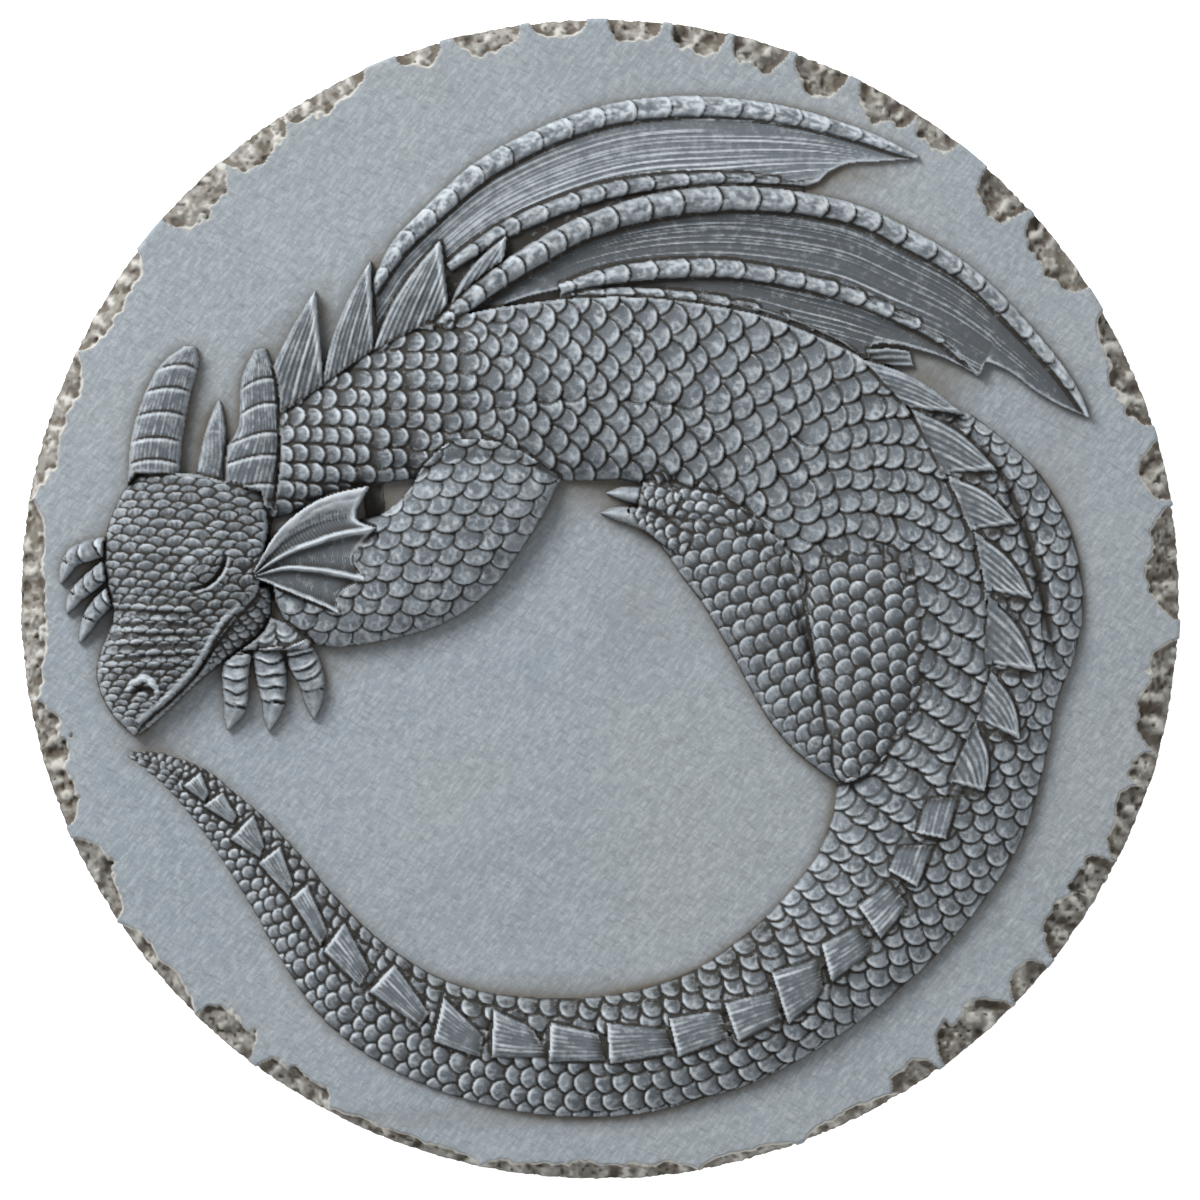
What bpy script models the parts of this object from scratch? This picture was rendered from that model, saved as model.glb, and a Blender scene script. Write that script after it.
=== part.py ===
"""Round cast stepping stone with a sleeping dragon curled in relief on its face and a chipped rim.

The stone lies on its flat underside at z = 0, centred on the z axis. The plan of the relief is drawn in
drawing units on a sheet whose disc has the radius DRAWN_RADIUS, x to the right and y down, and is scaled
to DIAMETER. Every height is a real size in metres above the face of the slab.
"""

import bpy
import numpy as np

DIAMETER = 0.300
SLAB_THICKNESS = 0.026
BASE_BEVEL = 0.0015
EDGE_ROUNDING = 0.0010
CHIP_DEPTH = 0.0065
CHIP_STEP = 0.0022

TRUNK_RELIEF = 0.0115
ARM_RELIEF = 0.0105
THIGH_RELIEF = 0.0140
SHIN_RELIEF = 0.0110
FOOT_RELIEF = 0.0080
PAW_RELIEF = 0.0065
CLAW_RELIEF = 0.0042
HEAD_RELIEF = 0.0145
JAW_RELIEF = 0.0078
HORN_RELIEF = 0.0090
EAR_RELIEF = 0.0135
FAR_BONE_RELIEF = 0.0042
NEAR_BONE_RELIEF = 0.0068
FAR_MEMBRANE_RELIEF = 0.0016
NEAR_MEMBRANE_RELIEF = 0.0028
PLATE_RISE = 0.0030
TAIL_PLATE_RISE = 0.0018
NECK_PLATE_RISE = 0.0045
CREASE_DEPTH = 0.0014

STONE_COLOUR = (0.27, 0.31, 0.34, 1.0)
STONE_ROUGHNESS = 0.85

SHEET = 1200.0
DRAWN_RADIUS = 581.0
CENTRE = np.array((600.0, 599.0))
CELL = 2.0
SOFTENING = 1.0
MESH_ROWS = 248
KEPT_SHARE = 0.0685
WALL_POINTS = 144
SCALE = DIAMETER / 2 / DRAWN_RADIUS

# Rows are the cross-sections of the body from the neck to the tail tip: the spine line, the inner edge,
# then the height at the spine, the height of the crown and the crown's place, as shares.
NEAR_BODY = (
    (282, 404, 284, 506, 0.30, 0.72, 0.5),
    (325, 382, 330, 500, 0.30, 0.78, 0.5),
    (365, 355, 375, 486, 0.32, 0.84, 0.5),
    (410, 330, 415, 479, 0.36, 0.90, 0.5),
    (455, 317, 470, 479, 0.42, 0.96, 0.5),
    (510, 306, 530, 480, 0.46, 1.00, 0.5),
    (570, 299, 585, 481, 0.48, 1.00, 0.5),
    (640, 298, 630, 481, 0.48, 1.00, 0.5),
    (705, 305, 680, 500, 0.50, 1.00, 0.5),
    (765, 317, 715, 528, 0.52, 1.00, 0.5),
    (820, 338, 742, 562, 0.56, 1.00, 0.48),
    (868, 363, 760, 594, 0.66, 1.00, 0.46),
    (900, 400, 774, 622, 0.76, 1.00, 0.42),
    (930, 445, 786, 648, 0.82, 1.00, 0.38),
    (955, 500, 796, 672, 0.86, 1.00, 0.34),
    (973, 550, 806, 694, 0.88, 1.00, 0.30),
    (984, 600, 815, 716, 0.90, 1.00, 0.26),
    (988, 650, 824, 738, 0.90, 1.00, 0.22),
    (983, 700, 831, 758, 0.90, 0.98, 0.18),
    (968, 745, 836, 776, 0.90, 0.96, 0.14),
    (940, 808, 833, 812, 0.90, 0.92, 0.08),
    (912, 858, 818, 852, 0.88, 0.88, 0.04),
    (885, 902, 792, 888, 0.86, 0.86, 0.02),
    (845, 945, 766, 916, 0.84, 0.84, 0.01),
    (800, 983, 735, 942, 0.81, 0.81, 0.01),
    (750, 1011, 700, 966, 0.78, 0.78, 0.01),
    (698, 1031, 660, 983, 0.75, 0.75, 0.01),
    (640, 1041, 615, 994, 0.72, 0.72, 0.01),
    (578, 1043, 565, 998, 0.69, 0.69, 0.01),
    (517, 1036, 520, 996, 0.66, 0.66, 0.01),
    (460, 1022, 478, 990, 0.62, 0.62, 0.01),
    (403, 994, 430, 973, 0.56, 0.56, 0.01),
    (350, 954, 378, 938, 0.50, 0.50, 0.01),
    (310, 912, 335, 896, 0.44, 0.44, 0.01),
    (282, 872, 300, 854, 0.39, 0.39, 0.01),
    (250, 835, 262, 815, 0.33, 0.33, 0.01),
    (222, 806, 232, 790, 0.28, 0.28, 0.01),
    (197, 785, 207, 770, 0.23, 0.23, 0.01),
    (160, 765, 166, 753, 0.17, 0.17, 0.01),
    (126, 753, 127, 750, 0.10, 0.10, 0.01),
)
# Rows are the outer edge and the spine line of the side that turns away, with the height at the spine.
FAR_BODY = (
    (968, 412, 905, 402, 0.76),
    (1000, 436, 930, 445, 0.82),
    (1040, 474, 955, 500, 0.86),
    (1070, 528, 973, 550, 0.88),
    (1083, 592, 984, 600, 0.90),
    (1077, 648, 988, 650, 0.90),
    (1056, 705, 983, 700, 0.90),
    (1048, 748, 968, 745, 0.90),
    (1029, 822, 940, 808, 0.90),
    (1000, 878, 912, 858, 0.88),
    (960, 930, 885, 902, 0.86),
    (905, 985, 845, 945, 0.84),
    (838, 1036, 800, 983, 0.81),
    (765, 1078, 750, 1011, 0.78),
    (700, 1100, 698, 1031, 0.75),
    (638, 1114, 640, 1041, 0.72),
    (572, 1117, 578, 1043, 0.69),
    (505, 1109, 517, 1036, 0.66),
    (440, 1091, 460, 1022, 0.62),
    (375, 1060, 403, 994, 0.56),
    (320, 1016, 350, 954, 0.50),
    (280, 958, 310, 912, 0.44),
    (250, 905, 282, 872, 0.39),
    (220, 857, 250, 835, 0.33),
    (197, 824, 222, 806, 0.28),
    (170, 792, 197, 785, 0.23),
    (145, 770, 160, 765, 0.17),
    (125, 755, 126, 753, 0.10),
)
FLANK_CREASE = (
    (975, 440), (1000, 475), (1012, 500), (1025, 530), (1036, 570), (1045, 610), (1052, 650), (1058, 676),
)
# Rows are the upper and the lower edge of the arm, from the shoulder to the wrist.
ARM = (
    (562, 478, 557, 486),
    (535, 460, 545, 512),
    (510, 446, 524, 545),
    (480, 440, 500, 580),
    (450, 443, 470, 608),
    (426, 464, 440, 625),
    (405, 494, 405, 636),
    (380, 514, 370, 643),
    (350, 520, 340, 647),
    (320, 524, 315, 644),
    (290, 532, 292, 632),
    (270, 545, 276, 604),
)
THIGH_CENTRE = (866, 655)
THIGH = (
    (812, 640), (806, 600), (814, 562), (838, 540), (870, 533), (902, 546), (920, 580), (928, 625),
    (927, 680), (914, 722), (888, 754), (858, 778), (838, 778), (828, 740), (820, 690),
)
# Rows are the front and the rear edge of the shin, from the ankle to the knee.
SHIN = (
    (642, 531, 700, 482),
    (662, 548, 748, 512),
    (682, 577, 774, 538),
    (701, 602, 792, 564),
    (719, 632, 801, 592),
    (736, 662, 808, 622),
    (752, 692, 816, 652),
    (770, 722, 828, 686),
    (792, 748, 842, 722),
    (816, 768, 852, 752),
    (836, 782, 846, 778),
)
FOOT = ((640, 498, 20), (665, 500, 24), (695, 500, 26), (725, 507, 24), (750, 522, 14))
SMALL_TOE = ((656, 480, 8), (672, 473, 10), (690, 476, 9))
HIND_CLAWS = (
    ((646, 492, 9), (628, 491, 7), (608, 492, 1)),
    ((634, 516, 9), (620, 514, 7), (604, 513, 1)),
)
# Each finger is a row of points with a half-width. Its last two points are the claw.
FINGERS = (
    ((240, 652, 13), (236, 672, 14), (236, 692, 13), (236, 706, 12), (228, 730, 1)),
    ((268, 648, 16), (271, 670, 16), (273, 690, 14), (274, 702, 12), (269, 731, 1)),
    ((296, 644, 14), (304, 662, 16), (311, 678, 14), (313, 690, 12), (314, 719, 1)),
    ((112, 545, 10), (92, 550, 11), (76, 556, 10), (69, 564, 8), (61, 584, 1)),
    ((108, 568, 10), (94, 580, 10), (82, 590, 9), (76, 596, 8), (67, 614, 1)),
    ((116, 592, 10), (104, 602, 10), (95, 612, 9), (90, 620, 8), (80, 643, 1)),
)
# Rows are the left edge, the ridge and the right edge of the skull, then its height as a share.
HEAD = (
    (136, 474, 196, 474, 262, 492, 0.52),
    (116, 505, 190, 508, 268, 524, 0.80),
    (104, 545, 192, 550, 264, 556, 1.00),
    (107, 585, 184, 590, 258, 592, 0.97),
    (113, 618, 168, 620, 238, 616, 0.88),
    (99, 655, 154, 652, 209, 654, 0.78),
    (98, 685, 146, 684, 188, 684, 0.70),
    (112, 714, 141, 708, 162, 708, 0.60),
    (134, 736, 137, 734, 141, 726, 0.42),
)
# Rows are the mouth line and the lower edge of the jaw.
JAW = (
    (246, 604, 272, 606),
    (228, 622, 264, 632),
    (214, 643, 240, 651),
    (201, 666, 206, 676),
    (181, 689, 176, 704),
    (160, 708, 150, 728),
    (141, 724, 138, 736),
)
EYE_SLIT = ((193, 590), (210, 584), (222, 571), (228, 555))
BROW = ((176, 592, 6), (186, 572, 11), (205, 560, 13), (222, 548, 9))
NOSTRIL = (146, 690)
NOSTRIL_SIZE = 9.0
WRINKLES = (((112, 606), (150, 606), (198, 606)), ((116, 622), (150, 622), (190, 620)), ((104, 642), (140, 644), (182, 646)))
# Each ear rib runs from the root to its tip.
EAR_RIBS = (
    ((255, 572), (275, 536), (301, 511), (332, 495), (370, 486)),
    ((256, 574), (288, 554), (316, 543), (344, 534), (376, 528)),
    ((256, 576), (286, 568), (312, 569), (338, 573), (365, 579)),
    ((256, 578), (280, 588), (302, 597), (322, 605), (340, 614)),
)
# Each horn is its left edge and its right edge, from the root to the tip.
HORNS = (
    (((128, 480), (131, 440), (142, 400), (160, 365), (184, 346)), ((180, 480), (183, 440), (190, 400), (199, 364), (197, 347))),
    (((213, 484), (225, 450), (238, 425), (241, 380), (254, 350)), ((276, 502), (281, 460), (280, 420), (278, 382), (266, 348))),
    (((196, 474), (203, 440), (211, 415), (217, 402), (219, 400)), ((226, 476), (227, 445), (225, 420), (222, 405), (220, 400))),
)
FAR_BONE = (
    (385, 270, 7), (400, 246, 9), (430, 216, 10), (480, 172, 11), (540, 139, 11), (605, 116, 11), (672, 107, 11),
    (742, 109, 10), (802, 119, 9), (862, 136, 7), (895, 149, 5), (918, 158, 2),
)
FAR_SECOND_BONE = (
    (448, 268, 5), (478, 247, 8), (520, 223, 9), (580, 199, 9), (628, 187, 9), (690, 180, 8), (755, 179, 6),
    (810, 185, 2),
)
FAR_TRAILING = ((810, 185), (830, 172), (850, 164), (880, 162), (918, 159))
NEAR_BONE = (
    (450, 318, 9), (490, 284, 11), (540, 252, 12), (585, 228, 12), (650, 208, 13), (722, 199, 13), (795, 203, 12),
    (855, 215, 11), (905, 238, 11), (960, 270, 10), (1005, 310, 9), (1052, 362, 7), (1076, 395, 5), (1088, 418, 2),
)
NEAR_SECOND_BONE = (
    (560, 290, 6), (605, 277, 9), (658, 270, 10), (715, 268, 10), (775, 276, 9), (838, 291, 9), (893, 313, 8),
    (945, 341, 6), (978, 376, 2),
)
NEAR_TRAILING = ((978, 376), (985, 363), (1010, 373), (1035, 392), (1060, 406), (1088, 418))
THIRD_BONE = (
    (560, 296, 5), (605, 293, 6), (665, 296, 7), (730, 304, 7), (790, 320, 7), (838, 341, 6), (866, 360, 4),
)
THIRD_TRAILING = ((866, 360), (872, 346), (895, 345), (920, 351), (945, 359), (978, 376))
# Each plate is the two ends of its root and its tip.
NECK_PLATES = (
    ((284, 392), (324, 376), (318, 290)),
    ((324, 378), (373, 342), (373, 261)),
    ((378, 336), (444, 306), (443, 241)),
    ((446, 306), (500, 292), (509, 236)),
)
BACK_PLATES = (
    ((870, 363), (914, 411), (963, 415)),
    ((914, 411), (946, 476), (996, 471)),
    ((951, 478), (973, 532), (1015, 524)),
    ((976, 534), (988, 593), (1031, 599)),
    ((990, 598), (986, 666), (1035, 672)),
    ((992, 674), (978, 722), (1018, 739)),
    ((976, 726), (948, 785), (983, 791)),
)
# Each plate is the inner and outer end of its free edge, then the inner and outer end of its root.
TAIL_PLATES = (
    ((915, 832), (945, 838), (925, 798), (958, 795)),
    ((887, 869), (916, 886), (898, 844), (933, 845)),
    ((857, 904), (880, 938), (890, 880), (907, 905)),
    ((821, 943), (831, 981), (857, 924), (872, 950)),
    ((771, 971), (788, 1023), (818, 957), (823, 992)),
    ((724, 1002), (738, 1041), (776, 989), (781, 1018)),
    ((669, 1017), (678, 1056), (719, 1009), (729, 1037)),
    ((607, 1022), (610, 1063), (665, 1028), (676, 1052)),
    ((551, 1021), (549, 1061), (599, 1033), (606, 1060)),
    ((494, 1009), (492, 1056), (532, 1026), (549, 1056)),
    ((444, 997), (434, 1041), (484, 1034), (480, 1056)),
    ((395, 964), (369, 991), (430, 1012), (420, 1026)),
    ((345, 922), (324, 951), (370, 968), (360, 986)),
    ((308, 884), (291, 899), (328, 930), (321, 946)),
    ((281, 846), (259, 863), (294, 884), (289, 896)),
    ((254, 814), (231, 839), (265, 845), (260, 858)),
    ((223, 792), (204, 806), (237, 816), (233, 824)),
    ((201, 772), (184, 786), (209, 793), (205, 802)),
)
# Rows are the two bearings of each chip in degrees and how far it reaches in from the rim.
CHIPS = (
    (106.0, 110.7, 19), (97.9, 104.8, 24), (91.3, 96.9, 17), (83.8, 89.2, 26), (77.3, 82.8, 31), (70.9, 76.6, 30),
    (64.5, 70.1, 34), (56.6, 63.2, 28), (51.7, 56.6, 24), (42.3, 48.1, 33), (32.5, 41.5, 33), (17.4, 29.8, 25),
    (9.8, 15.9, 24), (-2.1, 9.3, 30), (-15.6, -4.0, 30), (-19.2, -15.4, 27), (-26.9, -18.8, 26), (-32.4, -27.0, 36),
    (-38.4, -31.0, 30), (-44.2, -39.4, 25), (-53.6, -44.6, 33), (-59.5, -54.2, 24), (-69.3, -58.9, 13),
    (-80.1, -70.2, 12), (-101.9, -80.1, 17), (-118.5, -101.9, 13), (-126.3, -118.0, 23), (-134.3, -127.3, 30),
    (-145.9, -134.3, 15), (-155.6, -146.4, 25), (-170.0, -156.8, 28), (-190.2, -169.5, 26), (-205.4, -189.8, 20),
    (-217.0, -205.4, 21), (-229.3, -220.8, 30), (-236.8, -229.1, 30), (-246.0, -236.4, 22),
)


def smooth(points, count, by_length=True):
    """Points along the curve through the given ones, spaced by length or by point number."""
    points = np.asarray(points, float)
    padded = np.vstack((2 * points[0] - points[1], points, 2 * points[-1] - points[-2]))
    place = np.linspace(0, len(points) - 1, max(count, 12 * len(points)) if by_length else count)
    i = np.minimum(place.astype(int), len(points) - 2)
    u = (place - i)[:, None]
    a, b, c, d = (padded[i + k] for k in range(4))
    curve = b + 0.5 * u * (c - a + u * (2 * a - 5 * b + 4 * c - d + u * (3 * (b - c) + d - a)))
    if not by_length:
        return curve
    run = np.append(0, np.cumsum(np.hypot(*np.diff(curve[:, :2], axis=0).T)))
    where = np.linspace(0, run[-1], count)
    return np.stack([np.interp(where, run, column) for column in curve.T], axis=1)


def across(curves, columns):
    """Fills a grid between neighbouring curves that all have the same number of points."""
    curves = np.stack(curves, axis=1)
    place = np.linspace(0, curves.shape[1] - 1, columns)
    i = np.minimum(place.astype(int), curves.shape[1] - 2)
    u = (place - i)[None, :, None]
    return curves[:, i] * (1 - u) + curves[:, i + 1] * u


def ribbon(path, rows, columns=5):
    """Grid along a path whose points carry a half-width."""
    line = smooth(path, rows)
    slope = np.gradient(line[:, :2], axis=0)
    normal = np.stack((-slope[:, 1], slope[:, 0]), axis=1) / np.hypot(*slope.T)[:, None]
    reach = line[:, 2:3] * normal
    return across((line[:, :2] - reach, line[:, :2] + reach), columns)


def chart(grid):
    """Box of raster cells that a drawn grid covers, with each cell's share along and across the grid."""
    rows, columns = grid.shape[:2]
    points = grid / CELL
    x0, y0 = np.floor(points.min(axis=(0, 1))).astype(int)
    x1, y1 = np.ceil(points.max(axis=(0, 1))).astype(int) + 1
    shares = np.full((2, y1 - y0, x1 - x0), np.nan)
    place = np.stack(np.meshgrid(np.linspace(0, 1, rows), np.linspace(0, 1, columns), indexing="ij"), axis=-1)
    both = np.concatenate((points, place), axis=-1)
    corners = (both[:-1, :-1], both[1:, :-1], both[1:, 1:], both[:-1, 1:])
    corners = [corner.reshape(-1, 4) for corner in corners]
    for one, two, three in ((0, 1, 2), (0, 2, 3)):
        a, b, c = corners[one], corners[two], corners[three]
        low = np.floor(np.minimum(np.minimum(a, b), c)[:, :2])
        span = int(np.ceil((np.maximum(np.maximum(a, b), c)[:, :2] - low).max())) + 1
        step_x, step_y = (axis.ravel() for axis in np.meshgrid(np.arange(span), np.arange(span)))
        x = low[:, :1] + step_x
        y = low[:, 1:] + step_y
        ab, ac = b - a, c - a
        area = ab[:, 0] * ac[:, 1] - ab[:, 1] * ac[:, 0]
        area = np.where(np.abs(area) < 1e-9, np.nan, area)[:, None]
        px, py = x - a[:, :1], y - a[:, 1:2]
        v = (px * ac[:, 1:2] - py * ac[:, :1]) / area
        w = (ab[:, :1] * py - ab[:, 1:2] * px) / area
        row, column = np.nonzero((v >= -1e-6) & (w >= -1e-6) & (v + w <= 1 + 1e-6))
        v, w = v[row, column], w[row, column]
        found = a[row, 2:] + v[:, None] * ab[row, 2:] + w[:, None] * ac[row, 2:]
        shares[:, (y[row, column] - y0).astype(int), (x[row, column] - x0).astype(int)] = found.T
    return (slice(y0, y1), slice(x0, x1)), shares[0], shares[1]


def ends(share, values):
    """Values given at even steps along a form, read at each cell."""
    return np.interp(share, np.linspace(0, 1, len(values)), values)


def dome(u, power=2.2):
    return np.sqrt(np.clip(1 - np.abs(u) ** power, 0, 1))


def highest(relief, box, height):
    relief[box] = np.fmax(relief[box], height)


def add(relief, box, height):
    relief[box] += np.nan_to_num(height)


def over(relief, box, height):
    """Lays a form on top, so that its own edge shows wherever it lies."""
    relief[box] = np.where(np.isnan(height), relief[box], height)


def soften(relief, cells):
    """Small blur that gives every step the draft of a casting."""
    reach = int(3 * cells) + 1
    weights = np.exp(-0.5 * (np.arange(-reach, reach + 1) / cells) ** 2)
    weights /= weights.sum()
    for axis in (0, 1):
        relief = sum(w * np.roll(relief, k - reach, axis) for k, w in enumerate(weights))
    return relief


def bone(relief, path, height, mode):
    box, along, side = chart(ribbon(path, 90))
    mode(relief, box, height * (0.55 + 0.45 * dome(2 * side - 1)) * (1 - 0.45 * along**2))


def membrane(relief, first, second, trailing, height):
    """Hollow skin between a leading bone and the next bone, ended by its free edge."""
    upper = smooth([point[:2] for point in first], 110)
    lower = smooth([point[:2] for point in second] + list(trailing[1:]), 110)
    box, along, side = chart(across((upper, lower), 16))
    highest(relief, box, height * (1.25 - 0.7 * np.sin(np.pi * side) + 0.1 * along))


def wings(relief):
    membrane(relief, FAR_BONE[1:], FAR_SECOND_BONE, FAR_TRAILING, FAR_MEMBRANE_RELIEF)
    bone(relief, FAR_SECOND_BONE, FAR_BONE_RELIEF * 0.85, highest)
    bone(relief, FAR_BONE, FAR_BONE_RELIEF, highest)
    membrane(relief, NEAR_SECOND_BONE, THIRD_BONE, THIRD_TRAILING, NEAR_MEMBRANE_RELIEF)
    membrane(relief, NEAR_BONE[2:], NEAR_SECOND_BONE, NEAR_TRAILING, NEAR_MEMBRANE_RELIEF)
    bone(relief, NEAR_SECOND_BONE, NEAR_BONE_RELIEF * 0.8, highest)
    bone(relief, NEAR_BONE, NEAR_BONE_RELIEF, highest)


def stations(table, rows, columns, curves):
    """Grid of a form given by matched cross-sections."""
    table = np.asarray(table, float)
    lines = [smooth(table[:, 2 * k : 2 * k + 2], rows, by_length=False) for k in range(curves)]
    return across(lines, columns)


def body(relief):
    table = np.asarray(NEAR_BODY)
    box, along, side = chart(stations(table, 420, 26, 2))
    spine, crown, place = (ends(along, table[:, column]) for column in (4, 5, 6))
    rising = spine + (crown - spine) * np.sin(np.pi / 2 * np.clip(side / place, 0, 1))
    falling = crown * dome((side - place) / (1 - place))
    highest(relief, box, TRUNK_RELIEF * np.where(side < place, rising, falling))
    table = np.asarray(FAR_BODY)
    box, along, side = chart(stations(table, 320, 18, 2))
    highest(relief, box, TRUNK_RELIEF * ends(along, table[:, 4]) * dome(1 - side))
    groove(relief, FLANK_CREASE, 7, CREASE_DEPTH)


def groove(relief, path, width, depth):
    box, along, side = chart(ribbon([(x, y, width) for x, y in path], 60))
    add(relief, box, -depth * (1 - np.abs(2 * side - 1)) * np.sin(np.pi * along) ** 0.5)


def plate(relief, root_a, root_b, tip, rise):
    """Flat three-cornered plate with a thicker middle, standing out of what it lies on."""
    root_a, root_b, tip = (np.array(point, float) for point in (root_a, root_b, tip))
    share = np.linspace(0, 0.97, 14)[:, None]
    grid = across((root_a + share * (tip - root_a), root_b + share * (tip - root_b)), 14)
    box, along, side = chart(grid)
    add(relief, box, rise * (0.75 + 0.25 * dome(2 * side - 1)) * np.clip(0.55 + along, 0, 1))


def arm_and_leg(relief):
    box, along, side = chart(stations(ARM, 150, 24, 2))
    lifted = ends(along, (0.25, 0.8, 0.95, 1.0, 1.0, 1.0, 0.98, 0.95, 0.92, 0.88, 0.84, 0.8))
    over(relief, box, ARM_RELIEF * lifted * dome(2 * side - 1, 2.6) + 0.0004)
    box, along, side = chart(stations(SHIN, 110, 20, 2))
    lifted = ends(along, (0.7, 0.8, 0.9, 1.0, 1.0, 1.0, 0.95, 0.6))
    over(relief, box, np.maximum(SHIN_RELIEF * lifted * dome(2 * side - 1, 2.6), 0.55 * relief[box]))
    edge = smooth(THIGH + THIGH[:1], 90)
    share = np.linspace(0, 1, 20)[None, :, None]
    grid = np.array(THIGH_CENTRE) + share * (edge[:, None] - np.array(THIGH_CENTRE))
    box, along, side = chart(grid)
    highest(relief, box, THIGH_RELIEF * (0.62 + 0.38 * dome(side, 2.0)))
    for path in (FOOT, SMALL_TOE):
        box, along, side = chart(ribbon(path, 40, 9))
        highest(relief, box, FOOT_RELIEF * (0.35 + 0.65 * dome(2 * side - 1)))
    for path in HIND_CLAWS:
        box, along, side = chart(ribbon(path, 20))
        highest(relief, box, FOOT_RELIEF * (0.8 - 0.45 * along) * (0.5 + 0.5 * dome(2 * side - 1)))


def paws(relief):
    for finger in FINGERS:
        box, along, side = chart(ribbon(finger[:-1], 30, 7))
        knuckles = 0.9 + 0.1 * np.cos(6 * np.pi * along)
        highest(relief, box, PAW_RELIEF * knuckles * (0.35 + 0.65 * dome(2 * side - 1)))
        box, along, side = chart(ribbon(finger[-2:], 20))
        highest(relief, box, CLAW_RELIEF * (1.1 - 0.6 * along) * (0.4 + 0.6 * dome(2 * side - 1, 1.5)))


def horns(relief):
    for left, right in HORNS:
        box, along, side = chart(across((smooth(left, 60), smooth(right, 60)), 14))
        size = 1.0 if left[0][0] != HORNS[2][0][0][0] else 0.6
        rings = 1 - 0.10 * ((5.2 * along) % 1)
        highest(relief, box, size * HORN_RELIEF * rings * (0.45 + 0.55 * dome(2 * side - 1)) * (1 - 0.35 * along))


def head(relief):
    table = np.asarray(JAW, float)
    box, along, side = chart(stations(table, 60, 10, 2))
    over(relief, box, JAW_RELIEF * (1 - 0.35 * along) * dome(side, 2.6))
    table = np.asarray(HEAD)
    box, along, side = chart(stations(table, 110, 30, 3))
    height = ends(along, table[:, 6])
    right_edge = ends(along, (0.5, 0.5, 0.55, 0.62, 0.70, 0.74, 0.76, 0.76, 0.8))
    sides = np.where(side < 0.5, dome(2 * side - 1, 2.4), right_edge + (1 - right_edge) * dome(2 * side - 1))
    over(relief, box, HEAD_RELIEF * height * sides)
    box, along, side = chart(ribbon(BROW, 30, 9))
    add(relief, box, 0.10 * HEAD_RELIEF * np.sin(np.pi * along) * dome(2 * side - 1, 2.0))
    groove(relief, EYE_SLIT, 5, CREASE_DEPTH)
    for line in WRINKLES:
        groove(relief, line, 5, 0.5 * CREASE_DEPTH)
    y, x = np.mgrid[0 : relief.shape[0], 0 : relief.shape[1]] * CELL
    away = np.hypot(x - NOSTRIL[0], y - NOSTRIL[1]) / NOSTRIL_SIZE
    relief += 0.06 * HEAD_RELIEF * np.exp(-(((away - 1) / 0.4) ** 2)) - 0.08 * HEAD_RELIEF * np.exp(-((2 * away) ** 2))


def ear(relief):
    ribs = [smooth(rib, 50) for rib in EAR_RIBS]
    grid = across(ribs, 31)
    bay = np.linspace(0, 3, 31) % 1
    hollow = 0.12 * np.sin(np.pi * bay)[None, :] * np.linspace(0, 1, 50)[:, None]
    root = grid[:1]
    grid = root + (grid - root) * (1 - hollow[..., None])
    box, along, side = chart(grid)
    ridge = np.abs(np.cos(np.pi * 1.5 * (2 * side))) ** 3
    over(relief, box, EAR_RELIEF * (0.62 + 0.18 * ridge + 0.16 * (1 - along)))


def chipped(relief):
    """Lowers the rim where pieces have broken out of it, and rounds the rest of the edge."""
    y, x = np.mgrid[0 : relief.shape[0], 0 : relief.shape[1]] * CELL
    inward = DRAWN_RADIUS - np.hypot(x - CENTRE[0], y - CENTRE[1])
    bearing = np.degrees(np.arctan2(CENTRE[1] - y, x - CENTRE[0]))
    uneven = 1 + 0.16 * np.sin(np.radians(bearing) * 97) + 0.10 * np.sin(np.radians(bearing) * 61 + 1)
    cut = np.zeros_like(relief)
    for first, last, reach in CHIPS:
        share = ((bearing - first) % 360) / (last - first)
        reach_here = reach * uneven * dome(np.where(share < 1, 2 * share - 1, 1), 3.0)
        depth = 1 - np.fmax(inward, 0) / np.fmax(reach_here, CELL)
        broken = (share < 1) & (depth > 0)
        cut = np.fmax(cut, np.where(broken, CHIP_STEP + (CHIP_DEPTH - CHIP_STEP) * depth, 0))
    rounded = EDGE_ROUNDING * np.clip(1 - inward / (EDGE_ROUNDING / SCALE), 0, 1) ** 2
    return relief - np.fmax(cut, rounded)


def relief_map():
    cells = int(SHEET / CELL) + 1
    relief = np.zeros((cells, cells))
    wings(relief)
    body(relief)
    for root_a, root_b, tip in NECK_PLATES:
        plate(relief, root_a, root_b, tip, NECK_PLATE_RISE)
    arm_and_leg(relief)
    for root_a, root_b, tip in BACK_PLATES:
        plate(relief, root_a, root_b, tip, PLATE_RISE)
    for free_in, free_out, root_in, root_out in TAIL_PLATES:
        free, root = (np.array(pair, float) for pair in ((free_in, free_out), (root_in, root_out)))
        share = np.linspace(0, 1, 12)[:, None, None]
        box, along, side = chart(across(list(np.moveaxis(root + share * (free - root), 1, 0)), 12))
        add(relief, box, TAIL_PLATE_RISE * (0.2 + 0.8 * along))
    paws(relief)
    horns(relief)
    head(relief)
    ear(relief)
    return chipped(soften(relief, SOFTENING))


def read(relief, x, y):
    """Height under a point of the plan, in metres, between the four nearest cells."""
    column = (CENTRE[0] + x / SCALE) / CELL
    row = (CENTRE[1] - y / SCALE) / CELL
    i = np.clip(column.astype(int), 0, relief.shape[1] - 2)
    j = np.clip(row.astype(int), 0, relief.shape[0] - 2)
    u, v = column - i, row - j
    upper = relief[j, i] * (1 - u) + relief[j, i + 1] * u
    lower = relief[j + 1, i] * (1 - u) + relief[j + 1, i + 1] * u
    return upper * (1 - v) + lower * v


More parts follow.
